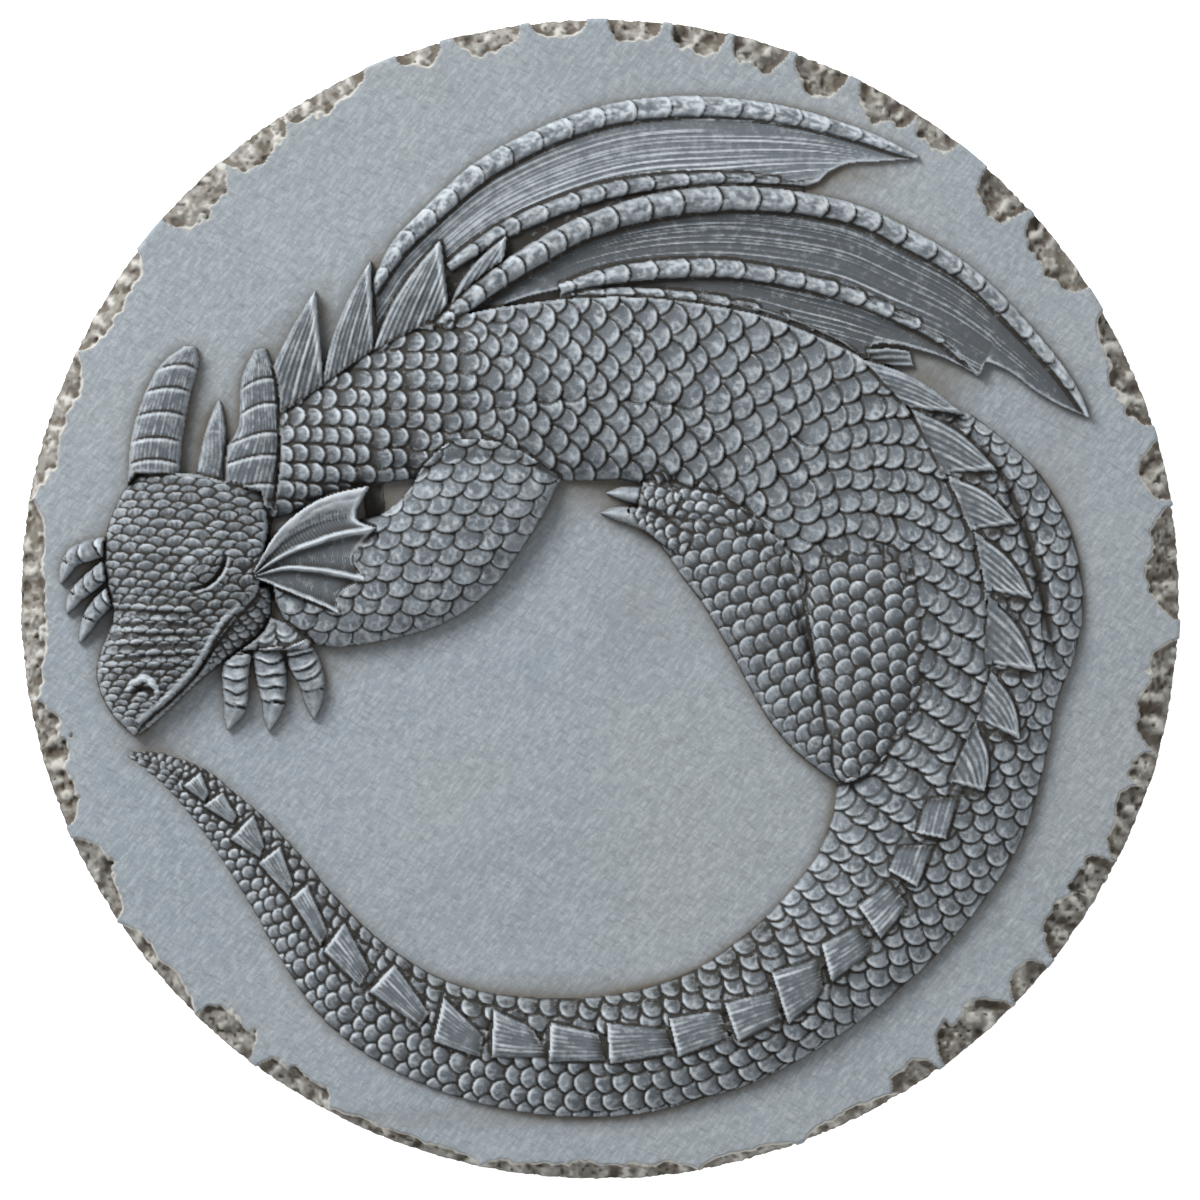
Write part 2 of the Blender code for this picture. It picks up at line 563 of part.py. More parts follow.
def disc_grid(count):
    """Square grid of points pressed into a disc, with its outer points on the circle."""
    a, b = np.meshgrid(np.linspace(-1, 1, count + 1), np.linspace(-1, 1, count + 1), indexing="ij")
    wide = np.abs(a) > np.abs(b)
    safe_a, safe_b = np.where(a == 0, 1, a), np.where(b == 0, 1, b)
    radius = np.where(wide, a, b)
    angle = np.where(wide, np.pi / 4 * b / safe_a, np.pi / 2 - np.pi / 4 * a / safe_b)
    return DIAMETER / 2 * radius * np.cos(angle), DIAMETER / 2 * radius * np.sin(angle)


def top_mesh(relief):
    """The face with its relief, thinned where it is flat."""
    x, y = disc_grid(MESH_ROWS)
    z = SLAB_THICKNESS + read(relief, x, y)
    points = np.stack((x, y, z), axis=-1).reshape(-1, 3)
    number = np.arange(len(points)).reshape(x.shape)
    quads = np.stack((number[:-1, :-1], number[1:, :-1], number[1:, 1:], number[:-1, 1:]), axis=-1)
    mesh = bpy.data.meshes.new("face")
    mesh.from_pydata(points.tolist(), [], quads.reshape(-1, 4).tolist())
    helper = bpy.data.objects.new("face", mesh)
    bpy.context.scene.collection.objects.link(helper)
    thin = helper.modifiers.new("thin", "DECIMATE")
    thin.ratio = KEPT_SHARE
    thinned = helper.evaluated_get(bpy.context.evaluated_depsgraph_get()).to_mesh()
    thinned.calc_loop_triangles()
    points = np.array([vertex.co[:] for vertex in thinned.vertices])
    faces = np.array([triangle.vertices[:] for triangle in thinned.loop_triangles])
    helper.evaluated_get(bpy.context.evaluated_depsgraph_get()).to_mesh_clear()
    bpy.data.objects.remove(helper, do_unlink=True)
    bpy.data.meshes.remove(mesh)
    return points, faces


def rim_loop(points, faces):
    """Numbers of the points on the free edge, in order of their bearing."""
    edges = np.sort(np.concatenate((faces[:, :2], faces[:, 1:], faces[:, ::2])), axis=1)
    edges, uses = np.unique(edges, axis=0, return_counts=True)
    loop = np.unique(edges[uses == 1])
    return loop[np.argsort(np.arctan2(points[loop, 1], points[loop, 0]))]


def stitched(lower, lower_angles, upper, upper_angles):
    """Triangles between two rings whose points are in order of bearing."""
    faces = []
    i = j = 0
    while i < len(lower) or j < len(upper):
        next_low = lower_angles[i + 1] if i + 1 < len(lower) else lower_angles[0] + 2 * np.pi
        next_up = upper_angles[j + 1] if j + 1 < len(upper) else upper_angles[0] + 2 * np.pi
        a, b = lower[i % len(lower)], upper[j % len(upper)]
        if j >= len(upper) or (i < len(lower) and next_low <= next_up):
            i += 1
            faces.append((a, lower[i % len(lower)], b))
        else:
            j += 1
            faces.append((a, upper[j % len(upper)], b))
    return faces


def stepping_stone():
    points, faces = top_mesh(relief_map())
    rim = rim_loop(points, faces)
    bearing = np.arctan2(points[rim, 1], points[rim, 0])
    points[rim, 0] = DIAMETER / 2 * np.cos(bearing)
    points[rim, 1] = DIAMETER / 2 * np.sin(bearing)
    turn = -np.pi + 2 * np.pi * np.arange(WALL_POINTS) / WALL_POINTS
    rings = []
    for radius, height in ((DIAMETER / 2, BASE_BEVEL), (DIAMETER / 2 - BASE_BEVEL, 0.0)):
        rings.append(np.arange(WALL_POINTS) + len(points))
        ring = np.stack((radius * np.cos(turn), radius * np.sin(turn), np.full(WALL_POINTS, height)), axis=1)
        points = np.vstack((points, ring))
    middle = len(points)
    points = np.vstack((points, (0.0, 0.0, 0.0)))
    faces = faces.tolist()
    faces += stitched(rings[0], turn, rim, bearing)
    for k in range(WALL_POINTS):
        after = (k + 1) % WALL_POINTS
        faces.append((rings[1][k], rings[1][after], rings[0][after], rings[0][k]))
        faces.append((middle, rings[1][after], rings[1][k]))
    mesh = bpy.data.meshes.new("dragon_stepping_stone")
    mesh.from_pydata(points.tolist(), [], [[int(k) for k in face] for face in faces])
    mesh.update()
    return mesh


def stone_material():
    material = bpy.data.materials.new("antiqued_cast_stone")
    material.use_nodes = True
    surface = material.node_tree.nodes["Principled BSDF"]
    surface.inputs["Base Color"].default_value = STONE_COLOUR
    surface.inputs["Roughness"].default_value = STONE_ROUGHNESS
    surface.inputs["Metallic"].default_value = 0.0
    return material


for old in list(bpy.data.objects):
    bpy.data.objects.remove(old, do_unlink=True)
stone = bpy.data.objects.new("dragon_stepping_stone", stepping_stone())
stone.data.materials.append(stone_material())
bpy.context.scene.collection.objects.link(stone)
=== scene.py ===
"""Looks of a round cast stepping stone with a sleeping dragon in relief on its face and a chipped rim.

The fine surface is one height map over the plan of the stone, drawn in drawing units with x to the right
and y down, and turned into meshes. Heights are in metres above the face of the slab.
"""

from typing import NamedTuple

import bpy
import numpy as np
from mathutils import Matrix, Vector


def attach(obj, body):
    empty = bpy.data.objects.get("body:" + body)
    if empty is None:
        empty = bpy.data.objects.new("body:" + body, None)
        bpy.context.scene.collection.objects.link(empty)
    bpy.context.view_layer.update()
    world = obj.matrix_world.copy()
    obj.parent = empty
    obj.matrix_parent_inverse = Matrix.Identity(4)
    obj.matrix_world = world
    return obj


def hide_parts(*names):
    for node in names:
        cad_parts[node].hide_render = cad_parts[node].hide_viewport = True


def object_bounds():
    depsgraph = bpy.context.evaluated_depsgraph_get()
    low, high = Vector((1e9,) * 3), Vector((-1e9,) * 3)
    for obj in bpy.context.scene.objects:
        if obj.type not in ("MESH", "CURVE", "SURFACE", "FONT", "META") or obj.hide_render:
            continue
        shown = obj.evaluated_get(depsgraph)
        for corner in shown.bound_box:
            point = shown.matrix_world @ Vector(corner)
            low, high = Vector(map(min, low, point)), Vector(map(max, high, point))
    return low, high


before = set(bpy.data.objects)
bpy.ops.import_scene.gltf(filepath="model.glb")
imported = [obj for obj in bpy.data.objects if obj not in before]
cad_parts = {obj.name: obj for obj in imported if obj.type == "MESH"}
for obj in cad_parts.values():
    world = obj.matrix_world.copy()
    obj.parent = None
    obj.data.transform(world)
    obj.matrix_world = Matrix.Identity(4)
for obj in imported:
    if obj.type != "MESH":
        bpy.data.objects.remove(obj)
CAD_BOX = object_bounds()

DIAMETER = 0.300
SLAB_THICKNESS = 0.026
BASE_BEVEL = 0.0015
EDGE_ROUNDING = 0.0010
CHIP_DEPTH = 0.0065
CHIP_STEP = 0.0022

TRUNK_RELIEF = 0.0108
ARM_RELIEF = 0.0099
THIGH_RELIEF = 0.0134
SHIN_RELIEF = 0.0106
FOOT_RELIEF = 0.0080
PAW_RELIEF = 0.0065
HEAD_RELIEF = 0.0140
JAW_RELIEF = 0.0078
HORN_RELIEF = 0.0090
EAR_RELIEF = 0.0130
FAR_BONE_RELIEF = 0.0042
NEAR_BONE_RELIEF = 0.0068
FAR_MEMBRANE_RELIEF = 0.0016
NEAR_MEMBRANE_RELIEF = 0.0028
PLATE_RISE = 0.0042
TAIL_PLATE_RISE = 0.0018
NECK_PLATE_RISE = 0.0045
CREASE_DEPTH = 0.0014

TOP_CLEARANCE = 0.0002
SHEET = 1200.0
DRAWN_RADIUS = 581.0
CENTRE = np.array((600.0, 599.0))
CELL = 1.2
SCALE = DIAMETER / 2 / DRAWN_RADIUS
FACE_RADIUS = 538.0
FACE_CELLS = 256
UNDER_DRAGON = 0.985
RIM_RINGS = 30
RIM_SECTORS = 2048
WALL_SHARES = (0.12, 0.3, 0.5, 0.7, 0.9, 1.0)
TOP = CAD_BOX[1][2] - TOP_CLEARANCE

HEAD_GROUP, TRUNK_GROUP, TAIL_GROUP, WING_GROUP, LEG_GROUP, BACK_GROUP = 1, 2, 3, 4, 5, 6

# Rows are the cross-sections of the body from the neck to the tail tip: the spine line, the inner edge,
# then the height at the spine, the height of the crown and the crown's place, as shares.
NEAR_BODY = (
    (256, 418, 258, 526, 0.26, 0.66, 0.5),
    (325, 382, 330, 500, 0.30, 0.78, 0.5),
    (365, 355, 375, 486, 0.32, 0.84, 0.5),
    (410, 330, 415, 479, 0.36, 0.90, 0.5),
    (455, 317, 470, 479, 0.42, 0.96, 0.5),
    (510, 306, 530, 480, 0.46, 1.00, 0.5),
    (570, 299, 585, 481, 0.48, 1.00, 0.5),
    (640, 298, 630, 481, 0.48, 1.00, 0.5),
    (705, 305, 680, 500, 0.50, 1.00, 0.5),
    (765, 317, 715, 528, 0.52, 1.00, 0.5),
    (820, 338, 742, 562, 0.56, 1.00, 0.48),
    (868, 363, 760, 594, 0.66, 1.00, 0.46),
    (900, 400, 774, 622, 0.76, 1.00, 0.42),
    (930, 445, 786, 648, 0.82, 1.00, 0.38),
    (955, 500, 796, 672, 0.86, 1.00, 0.34),
    (973, 550, 806, 694, 0.88, 1.00, 0.30),
    (984, 600, 815, 716, 0.90, 1.00, 0.26),
    (988, 650, 824, 738, 0.90, 1.00, 0.22),
    (983, 700, 831, 758, 0.90, 0.98, 0.18),
    (968, 745, 836, 776, 0.90, 0.96, 0.14),
    (940, 808, 833, 812, 0.90, 0.92, 0.08),
    (912, 858, 818, 852, 0.88, 0.88, 0.04),
    (885, 902, 792, 888, 0.86, 0.86, 0.02),
    (845, 945, 766, 916, 0.84, 0.84, 0.01),
    (800, 983, 735, 942, 0.81, 0.81, 0.01),
    (750, 1011, 700, 966, 0.78, 0.78, 0.01),
    (698, 1031, 660, 983, 0.75, 0.75, 0.01),
    (640, 1041, 615, 994, 0.72, 0.72, 0.01),
    (578, 1043, 565, 998, 0.69, 0.69, 0.01),
    (517, 1036, 520, 996, 0.66, 0.66, 0.01),
    (460, 1022, 478, 990, 0.62, 0.62, 0.01),
    (403, 994, 430, 973, 0.56, 0.56, 0.01),
    (350, 954, 378, 938, 0.50, 0.50, 0.01),
    (310, 912, 335, 896, 0.44, 0.44, 0.01),
    (282, 872, 300, 854, 0.39, 0.39, 0.01),
    (250, 835, 262, 815, 0.33, 0.33, 0.01),
    (222, 806, 232, 790, 0.28, 0.28, 0.01),
    (197, 785, 207, 770, 0.23, 0.23, 0.01),
    (160, 765, 166, 753, 0.17, 0.17, 0.01),
    (126, 753, 127, 750, 0.10, 0.10, 0.01),
)
# Outer edge of the side that turns away, one point for each row of NEAR_BODY from the given row on.
FAR_START = 12
FAR_FIRST_SPINE = (905, 402)
FAR_EDGE = (
    (968, 412), (1000, 436), (1040, 474), (1070, 528), (1083, 592), (1077, 648), (1056, 705), (1048, 748),
    (1029, 822), (1000, 878), (960, 930), (905, 985), (838, 1036), (765, 1078), (700, 1100), (638, 1114),
    (572, 1117), (505, 1109), (440, 1091), (375, 1060), (320, 1016), (280, 958), (250, 905), (220, 857),
    (197, 824), (170, 792), (145, 770), (125, 755),
)
FLANK_CREASE = (
    (975, 440), (1000, 475), (1012, 500), (1025, 530), (1036, 570), (1045, 610), (1052, 650), (1058, 676),
)
# Rows are the upper and the lower edge of the arm, from the shoulder to the wrist.
ARM = (
    (562, 478, 557, 486), (535, 460, 545, 512), (510, 446, 524, 545), (480, 440, 500, 580),
    (450, 443, 470, 608), (426, 464, 440, 625), (405, 494, 405, 636), (380, 514, 370, 643),
    (350, 520, 340, 647), (320, 524, 315, 644), (290, 532, 292, 632), (270, 545, 276, 604),
)
THIGH_CENTRE = (866, 655)
THIGH = (
    (812, 640), (806, 600), (814, 562), (838, 540), (870, 533), (902, 546), (920, 580), (928, 625),
    (927, 680), (914, 722), (888, 754), (858, 778), (838, 778), (828, 740), (820, 690),
)
# Rows are the front and the rear edge of the shin, from the ankle to the knee.
SHIN = (
    (642, 531, 700, 482), (662, 548, 748, 512), (682, 577, 774, 538), (701, 602, 792, 564),
    (719, 632, 801, 592), (736, 662, 808, 622), (752, 692, 816, 652), (770, 722, 828, 686),
    (792, 748, 842, 722), (816, 768, 852, 752), (836, 782, 846, 778),
)
SMALL_TOE = ((656, 480, 8), (672, 473, 10), (690, 476, 9))
# Each finger is a row of points with a half-width. Its last two points are the claw.
FINGERS = (
    ((240, 652, 13), (236, 672, 14), (236, 692, 13), (236, 706, 12), (228, 730, 1)),
    ((268, 648, 16), (271, 670, 16), (273, 690, 14), (274, 702, 12), (269, 731, 1)),
    ((296, 644, 14), (304, 662, 16), (311, 678, 14), (313, 690, 12), (314, 719, 1)),
    ((112, 545, 10), (92, 550, 11), (76, 556, 10), (69, 564, 8), (61, 584, 1)),
    ((108, 568, 10), (94, 580, 10), (82, 590, 9), (76, 596, 8), (67, 614, 1)),
    ((116, 592, 10), (104, 602, 10), (95, 612, 9), (90, 620, 8), (80, 643, 1)),
)
# Rows are the left edge, the ridge and the right edge of the skull, then its height as a share.
HEAD = (
    (136, 474, 196, 474, 262, 492, 0.52),
    (116, 505, 190, 508, 268, 524, 0.80),
    (104, 545, 192, 550, 264, 556, 1.00),
    (107, 585, 184, 590, 258, 592, 0.97),
    (113, 618, 168, 620, 238, 616, 0.88),
    (99, 655, 154, 652, 209, 654, 0.78),
    (98, 685, 146, 684, 188, 684, 0.70),
    (112, 714, 141, 708, 162, 708, 0.60),
    (134, 736, 137, 734, 141, 726, 0.42),
)
# Rows are the mouth line and the lower edge of the jaw.
JAW = (
    (254, 588, 271, 586), (244, 606, 272, 610), (228, 622, 264, 632), (214, 643, 240, 651),
    (201, 666, 206, 676), (181, 689, 176, 704), (160, 708, 150, 728), (141, 724, 138, 736),
)
EYE_SLIT = ((193, 590), (210, 584), (222, 571), (228, 555))
BROW = ((176, 592, 6), (186, 572, 11), (205, 560, 13), (222, 548, 9))
# Each ear rib runs from the root to its tip.
EAR_RIBS = (
    ((255, 572), (275, 536), (301, 511), (332, 495), (370, 486)),
    ((256, 574), (288, 554), (316, 543), (344, 534), (376, 528)),
    ((256, 576), (286, 568), (312, 569), (338, 573), (365, 579)),
    ((256, 578), (280, 588), (302, 597), (322, 605), (340, 614)),
)
# Each horn is its left edge and its right edge, from the root to the tip. The last one is the small one.
HORNS = (
    (((128, 480), (131, 440), (142, 400), (160, 365), (184, 346)),
     ((180, 480), (183, 440), (190, 400), (199, 364), (197, 347))),
    (((213, 484), (225, 450), (238, 425), (241, 380), (254, 350)),
     ((276, 502), (281, 460), (280, 420), (278, 382), (266, 348))),
    (((196, 474), (203, 440), (211, 415), (217, 402), (219, 400)),
     ((226, 476), (227, 445), (225, 420), (222, 405), (220, 400))),
)
FAR_BONE = (
    (372, 292, 5), (385, 270, 7), (400, 246, 9), (430, 216, 10), (480, 172, 11), (540, 139, 11),
    (605, 116, 11), (672, 107, 11), (742, 109, 10), (802, 119, 9), (862, 136, 7), (895, 149, 5),
    (918, 158, 2),
)
FAR_SECOND_BONE = (
    (448, 268, 5), (478, 247, 8), (520, 223, 9), (580, 199, 9), (628, 187, 9), (690, 180, 8),
    (755, 179, 6), (810, 185, 2),
)
FAR_TRAILING = ((810, 185), (830, 172), (850, 164), (880, 162), (918, 159))
NEAR_BONE = (
    (450, 318, 9), (490, 284, 11), (540, 252, 12), (585, 228, 12), (650, 208, 13), (722, 199, 13),
    (795, 203, 12), (855, 215, 11), (905, 238, 11), (960, 270, 10), (1005, 310, 9), (1052, 362, 7),
    (1076, 395, 5), (1088, 418, 2),
)
NEAR_SECOND_BONE = (
    (560, 290, 6), (605, 277, 9), (658, 270, 10), (715, 268, 10), (775, 276, 9), (838, 291, 9),
    (893, 313, 8), (945, 341, 6), (978, 376, 2),
)
NEAR_TRAILING = ((978, 376), (985, 363), (1010, 373), (1035, 392), (1060, 406), (1088, 418))
THIRD_BONE = (
    (560, 296, 5), (605, 293, 6), (665, 296, 7), (730, 304, 7), (790, 320, 7), (838, 341, 6),
    (866, 360, 4),
)
THIRD_TRAILING = ((866, 360), (872, 346), (895, 345), (920, 351), (945, 359), (978, 376))
# Each plate is the two ends of its root and its tip.
BACK_PLATES = (
    ((870, 363), (914, 411), (963, 415)),
    ((914, 411), (946, 476), (996, 471)),
    ((951, 478), (973, 532), (1015, 524)),
    ((976, 534), (988, 593), (1031, 599)),
    ((990, 598), (986, 666), (1035, 672)),
    ((992, 674), (978, 722), (1018, 739)),
    ((976, 726), (948, 785), (983, 791)),
)
# Each plate is the inner and outer end of its free edge, then the inner and outer end of its root.
TAIL_PLATES = (
    ((915, 832), (945, 838), (925, 798), (958, 795)),
    ((887, 869), (916, 886), (898, 844), (933, 845)),
    ((857, 904), (880, 938), (890, 880), (907, 905)),
    ((821, 943), (831, 981), (857, 924), (872, 950)),
    ((771, 971), (788, 1023), (818, 957), (823, 992)),
    ((724, 1002), (738, 1041), (776, 989), (781, 1018)),
    ((669, 1017), (678, 1056), (719, 1009), (729, 1037)),
    ((607, 1022), (610, 1063), (665, 1028), (676, 1052)),
    ((551, 1021), (549, 1061), (599, 1033), (606, 1060)),
    ((494, 1009), (492, 1056), (532, 1026), (549, 1056)),
    ((444, 997), (434, 1041), (484, 1034), (480, 1056)),
    ((395, 964), (369, 991), (430, 1012), (420, 1026)),
    ((345, 922), (324, 951), (370, 968), (360, 986)),
    ((308, 884), (291, 899), (328, 930), (321, 946)),
    ((281, 846), (259, 863), (294, 884), (289, 896)),
    ((254, 814), (231, 839), (265, 845), (260, 858)),
    ((223, 792), (204, 806), (237, 816), (233, 824)),
    ((201, 772), (184, 786), (209, 793), (205, 802)),
)
# Rows are the two bearings of each chip in degrees and how far it reaches in from the rim.
CHIPS = (
    (106.0, 110.7, 19), (97.9, 104.8, 24), (91.3, 96.9, 17), (83.8, 89.2, 26), (77.3, 82.8, 31),
    (70.9, 76.6, 30), (64.5, 70.1, 34), (56.6, 63.2, 28), (51.7, 56.6, 24), (42.3, 48.1, 33),
    (32.5, 41.5, 33), (17.4, 29.8, 25), (9.8, 15.9, 24), (-2.1, 9.3, 30), (-15.6, -4.0, 30),
    (-19.2, -15.4, 27), (-26.9, -18.8, 26), (-32.4, -27.0, 36), (-38.4, -31.0, 30), (-44.2, -39.4, 25),
    (-53.6, -44.6, 33), (-59.5, -54.2, 24), (-69.3, -58.9, 13), (-80.1, -70.2, 12), (-101.9, -80.1, 17),
    (-118.5, -101.9, 13), (-126.3, -118.0, 23), (-134.3, -127.3, 30), (-145.9, -134.3, 15),
    (-155.6, -146.4, 25), (-170.0, -156.8, 28), (-190.2, -169.5, 26), (-205.4, -189.8, 20),
    (-217.0, -205.4, 21), (-229.3, -220.8, 30), (-236.8, -229.1, 30), (-246.0, -236.4, 22),
)


def travelled(points, steps=1.0):
    """Distance along a line of points, in steps."""
    return np.append(0, np.cumsum(np.hypot(*np.diff(points, axis=0).T) / steps))


def smooth(points, count, by_length=True):
    """Points along the curve through the given ones, spaced by length or by point number."""
    points = np.asarray(points, float)
    padded = np.vstack((2 * points[0] - points[1], points, 2 * points[-1] - points[-2]))
    place = np.linspace(0, len(points) - 1, max(count, 12 * len(points)) if by_length else count)
    i = np.minimum(place.astype(int), len(points) - 2)
    u = (place - i)[:, None]
    a, b, c, d = (padded[i + k] for k in range(4))
    curve = b + 0.5 * u * (c - a + u * (2 * a - 5 * b + 4 * c - d + u * (3 * (b - c) + d - a)))
    if not by_length:
        return curve
    run = travelled(curve[:, :2])
    where = np.linspace(0, run[-1], count)
    return np.stack([np.interp(where, run, column) for column in curve.T], axis=1)


def across(curves, columns):
    """Fills a grid between neighbouring curves that all have the same number of points."""
    curves = np.stack(curves, axis=1)
    place = np.linspace(0, curves.shape[1] - 1, columns)
    i = np.minimum(place.astype(int), curves.shape[1] - 2)
    u = (place - i)[None, :, None]
    return curves[:, i] * (1 - u) + curves[:, i + 1] * u


def ribbon(path, rows, columns=5):
    """Grid along a path whose points carry a half-width."""
    line = smooth(path, rows)
    slope = np.gradient(line[:, :2], axis=0)
    normal = np.stack((-slope[:, 1], slope[:, 0]), axis=1) / np.hypot(*slope.T)[:, None]
    reach = line[:, 2:3] * normal
    return across((line[:, :2] - reach, line[:, :2] + reach), columns)


def chart(grid):
    """Box of raster cells that a drawn grid covers, with each cell's share along and across the grid."""
    rows, columns = grid.shape[:2]
    points = grid / CELL
    x0, y0 = np.floor(points.min(axis=(0, 1))).astype(int)
    x1, y1 = np.ceil(points.max(axis=(0, 1))).astype(int) + 1
    shares = np.full((2, y1 - y0, x1 - x0), np.nan)
    steps = (np.linspace(0, 1, count) for count in (rows, columns))
    place = np.stack(np.meshgrid(*steps, indexing="ij"), axis=-1)
    both = np.concatenate((points, place), axis=-1)
    corners = (both[:-1, :-1], both[1:, :-1], both[1:, 1:], both[:-1, 1:])
    corners = [corner.reshape(-1, 4) for corner in corners]
    for one, two, three in ((0, 1, 2), (0, 2, 3)):
        a, b, c = corners[one], corners[two], corners[three]
        low = np.floor(np.minimum(np.minimum(a, b), c)[:, :2])
        span = int(np.ceil((np.maximum(np.maximum(a, b), c)[:, :2] - low).max())) + 1
        step_x, step_y = (axis.ravel() for axis in np.meshgrid(np.arange(span), np.arange(span)))
        x = low[:, :1] + step_x
        y = low[:, 1:] + step_y
        ab, ac = b - a, c - a
        area = ab[:, 0] * ac[:, 1] - ab[:, 1] * ac[:, 0]
        area = np.where(np.abs(area) < 1e-9, np.nan, area)[:, None]
        px, py = x - a[:, :1], y - a[:, 1:2]
        v = (px * ac[:, 1:2] - py * ac[:, :1]) / area
        w = (ab[:, :1] * py - ab[:, 1:2] * px) / area
        row, column = np.nonzero((v >= -1e-6) & (w >= -1e-6) & (v + w <= 1 + 1e-6))
        v, w = v[row, column], w[row, column]
        found = a[row, 2:] + v[:, None] * ab[row, 2:] + w[:, None] * ac[row, 2:]
        shares[:, (y[row, column] - y0).astype(int), (x[row, column] - x0).astype(int)] = found.T
    return (slice(y0, y1), slice(x0, x1)), shares[0], shares[1]


def ends(share, values):
    """Values given at even steps along a form, read at each cell."""
    return np.interp(share, np.linspace(0, 1, len(values)), values)


def unit(value):
    """Keeps a value between 0 and 1."""
    return np.clip(value, 0, 1)


def bell(value):
    """Smooth bump that is 1 at 0 and has died away at 2."""
    return np.exp(-(value**2))


def dome(u, power=2.2):
    """Round cross-section that is 1 at 0 and falls to 0 at -1 and 1."""
    return np.sqrt(unit(1 - np.abs(u) ** power))


def arch(side, power=2.2):
    """Dome over the whole width of a form, whose share runs from 0 to 1."""
    return dome(2 * side - 1, power)


def soften(relief, cells):
    """Small blur that gives every step the draft of a casting."""
    reach = int(3 * cells) + 1
    weights = np.exp(-0.5 * (np.arange(-reach, reach + 1) / cells) ** 2)
    weights /= weights.sum()
    for axis in (0, 1):
        relief = sum(w * np.roll(relief, k - reach, axis) for k, w in enumerate(weights))
    return relief


class Maps:
    """Height map with its ground, the dark of brown washing and painted shade, the pale rubbing and the piece
    that each cell is in.
    """

    def __init__(self):
        cells = int(SHEET / CELL) + 1
        fields = [np.zeros((cells, cells)) for _ in range(5)]
        self.relief, self.ground, self.tone, self.wash, self.pale = fields
        self.piece = np.zeros((cells, cells), int)

    def lay(self, box, height, group, on_top=True, ground=None, tone=0.0, wash=0.0, pale=0.0):
        """Draws a form, over all else or only where it is higher, with a dark outline of brown washing and
        painted shade where it meets another form.
        """
        seen = ~np.isnan(height) if on_top else np.nan_to_num(height, nan=-1.0) > self.relief[box]
        ground = height if ground is None else ground
        fields = (self.relief, self.ground, self.tone, self.wash, self.pale, self.piece)
        for field, value in zip(fields, (height, ground, tone, wash, pale, group)):
            field[box] = np.where(seen, value, field[box])
        grown = seen
        for _ in range(2):
            rows, columns = grown.copy(), grown.copy()
            rows[1:] |= grown[:-1]
            rows[:-1] |= grown[1:]
            columns[:, 1:] |= rows[:, :-1]
            columns[:, :-1] |= rows[:, 1:]
            grown = rows | columns
        # Dark outline where the form meets another one: brown washing with painted shade.
        outline = grown & ~seen & (self.relief[box] > 0)
        self.wash[box] = np.where(outline, np.maximum(self.wash[box], 0.9), self.wash[box])
        self.pale[box] = np.where(outline, 0, self.pale[box])


def hashed(*values):
    """Even spread of numbers in 0..1 from other numbers."""
    mixed = np.zeros_like(np.asarray(values[0], float))
    for k, value in enumerate(values):
        turned = (mixed + np.asarray(value, float)) * (12.9898 + 7.233 * k) + 4.1
        mixed = np.modf(np.abs(np.sin(turned) * 43758.5453))[0]
    return mixed


def noise(x, y, seed):
    """Smooth noise in -1..1 with one cell per unit."""
    i, j = np.floor(x), np.floor(y)
    u, v = x - i, y - j
    u, v = u * u * (3 - 2 * u), v * v * (3 - 2 * v)
    corners = [hashed(i + a, j + b, np.full_like(i, seed)) for b in (0, 1) for a in (0, 1)]
    low = corners[0] * (1 - u) + corners[1] * u
    high = corners[2] * (1 - u) + corners[3] * u
    return 2 * (low * (1 - v) + high * v) - 1


def stepwise(table, place):
    """Reads a short table of (station, value) pairs."""
    table = np.asarray(table, float)
    return np.interp(place, table[:, 0], table[:, 1])


LEADER_ROWS = 6
STRAY_ANGLE = 14


class Skin(NamedTuple):
    """Scales of one form: row gap, pitch and bearing of the free edge by station, then height and look.

    Bearings are in degrees, clockwise from the right. Stagger is how far each row is set on from the last."""

    gap: tuple
    pitch: tuple
    bearing: tuple
    lift: float
    stagger: float = 0.5
    first: float = 0.15
    jitter: float = 0.13
    by_pitch: bool = False
    blunt: float = 0.55
    crown: float = 0.35
    crevice: float = 2.2
    full: float = 1.0
    longer: float = 1.0
    shade: float = 0.0


